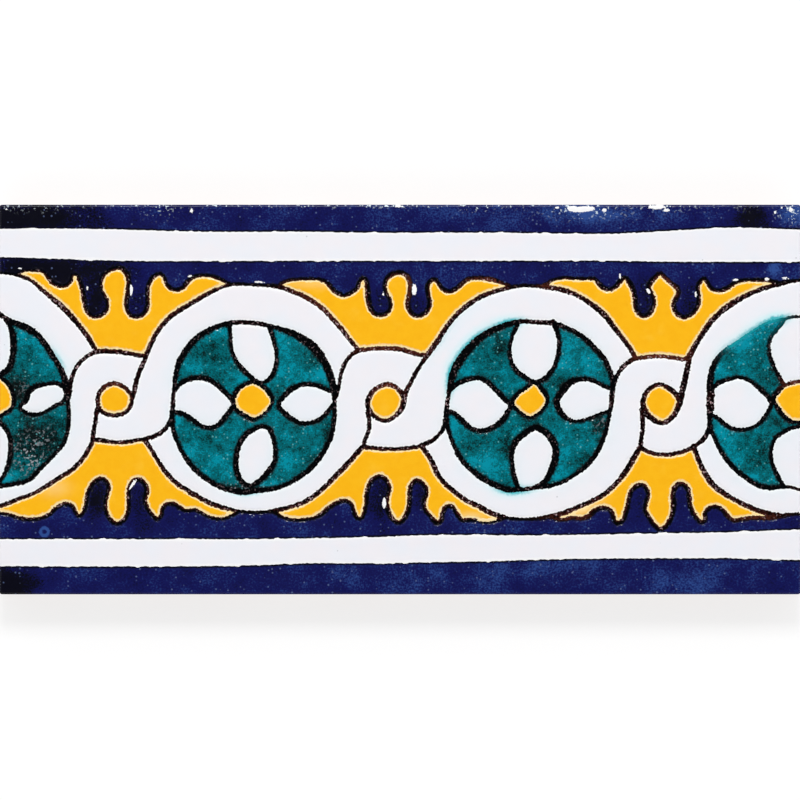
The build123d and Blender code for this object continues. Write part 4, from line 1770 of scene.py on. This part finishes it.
        # The painted glints stay on the face near its top, off the sides
        cobalt.values["sparkle"] *= cobalt.points[:, 2] > painting.form.thickness - self.glints_above
        green.mark("shade", self.green_shades)
        green.mark("ash", self.ashes)
        green.mark("washed", self.washed_lines, is_share=True)
        lines.note("line_gap", grid.read(gap, lines.points))
        lines.note("copper_gap", copper_gap(lines.points))
        lines.note("amber_gap", self._gap_to(amber)(lines.points))
        lines.note("cobalt_gap", self._gap_to(cobalt)(lines.points))
        lines.mark("washed", self.washed_lines, is_share=True)
        lines.mark("rusty", self.rusty_lines, is_share=True)
        lines.mark("scummed", self.scummed_lines)
        dressed = ((lines, ResistLine()), (Solid.joined("white_glaze", whites), WhiteGlaze()),
                   (amber, AmberGlaze()), (green, CopperGlaze()), (cobalt, CobaltGlaze()))
        return [solid.place(finish, self.effects) for solid, finish in dressed]

    def _drained(self, points: np.ndarray) -> np.ndarray:
        """Measure how far the nearest line lies below a point, where the glaze drained away from it.

        Args:
            points: Rows of x, y and z.

        Returns:
            One value for every row, 1 where the line is straight below and 0 where it is above.
        """
        grid = self.painting.grid
        upwards, along = np.gradient(self.painting.line_gap, grid.step)
        steepness = np.hypot(upwards, along) + 1e-6
        return np.clip(grid.read(upwards / steepness, points), 0, 1)

    @staticmethod
    def _gap_to(solid: Solid) -> Callable[[np.ndarray], np.ndarray]:
        """Give a function that measures how far points lie from a solid, seen from above."""
        tree = KDTree(len(solid.points))
        for number, (x, y, _) in enumerate(solid.points):
            tree.insert((x, y, 0), number)
        tree.balance()
        return lambda points: np.array([tree.find((x, y, 0))[2] for x, y, _ in points])


@dataclass
class ClayBody:
    """The pressed clay under the glaze, made from the CAD tile's own mesh."""

    form: TileForm
    effects: SharedEffects
    glaze_depth: float = 0.5
    side_depth: float = 0.15
    back_band: float = 0.6

    def build(self, node: bpy.types.Object) -> bpy.types.Object:
        """Copy the CAD tile, and take the glaze's thickness off its face and sides.

        Args:
            node: The CAD tile.

        Returns:
            The piece that stands for it.
        """
        mesh = node.data.copy()
        mesh.name = "clay_body"
        points = np.empty(len(mesh.vertices) * 3)
        mesh.vertices.foreach_get("co", points)
        points = points.reshape(-1, 3) / METRES_PER_MM
        above_back = points[:, 2] > self.back_band
        for axis, side in ((0, self.form.length), (1, self.form.width)):
            points[above_back, axis] *= 1 - 2 * self.side_depth / side
        points[points[:, 2] > self.form.thickness / 2, 2] -= self.glaze_depth
        mesh.vertices.foreach_set("co", (points * METRES_PER_MM).ravel())
        mesh.update()
        mesh.materials.clear()
        mesh.materials.append(Bisque().build(self.effects))
        body = bpy.data.objects.new("clay_body", mesh)
        bpy.context.scene.collection.objects.link(body)
        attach(body, "root")
        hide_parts(node.name)
        log.info("clay_body: %d faces", len(mesh.polygons))
        return body


def main() -> None:
    """Build the tile and its studio."""
    logging.basicConfig(level=logging.INFO, format="%(message)s")
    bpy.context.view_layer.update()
    form = TileForm.of_node("border_tile")
    effects = SharedEffects()
    ClayBody(form, effects).build(frame["nodes"]["border_tile"])
    GlazedFace(Painting(form, Drawing()), effects).build()
    Studio().build(form)
    bpy.context.scene.view_settings.view_transform = "Standard"


if __name__ == "__main__":
    main()
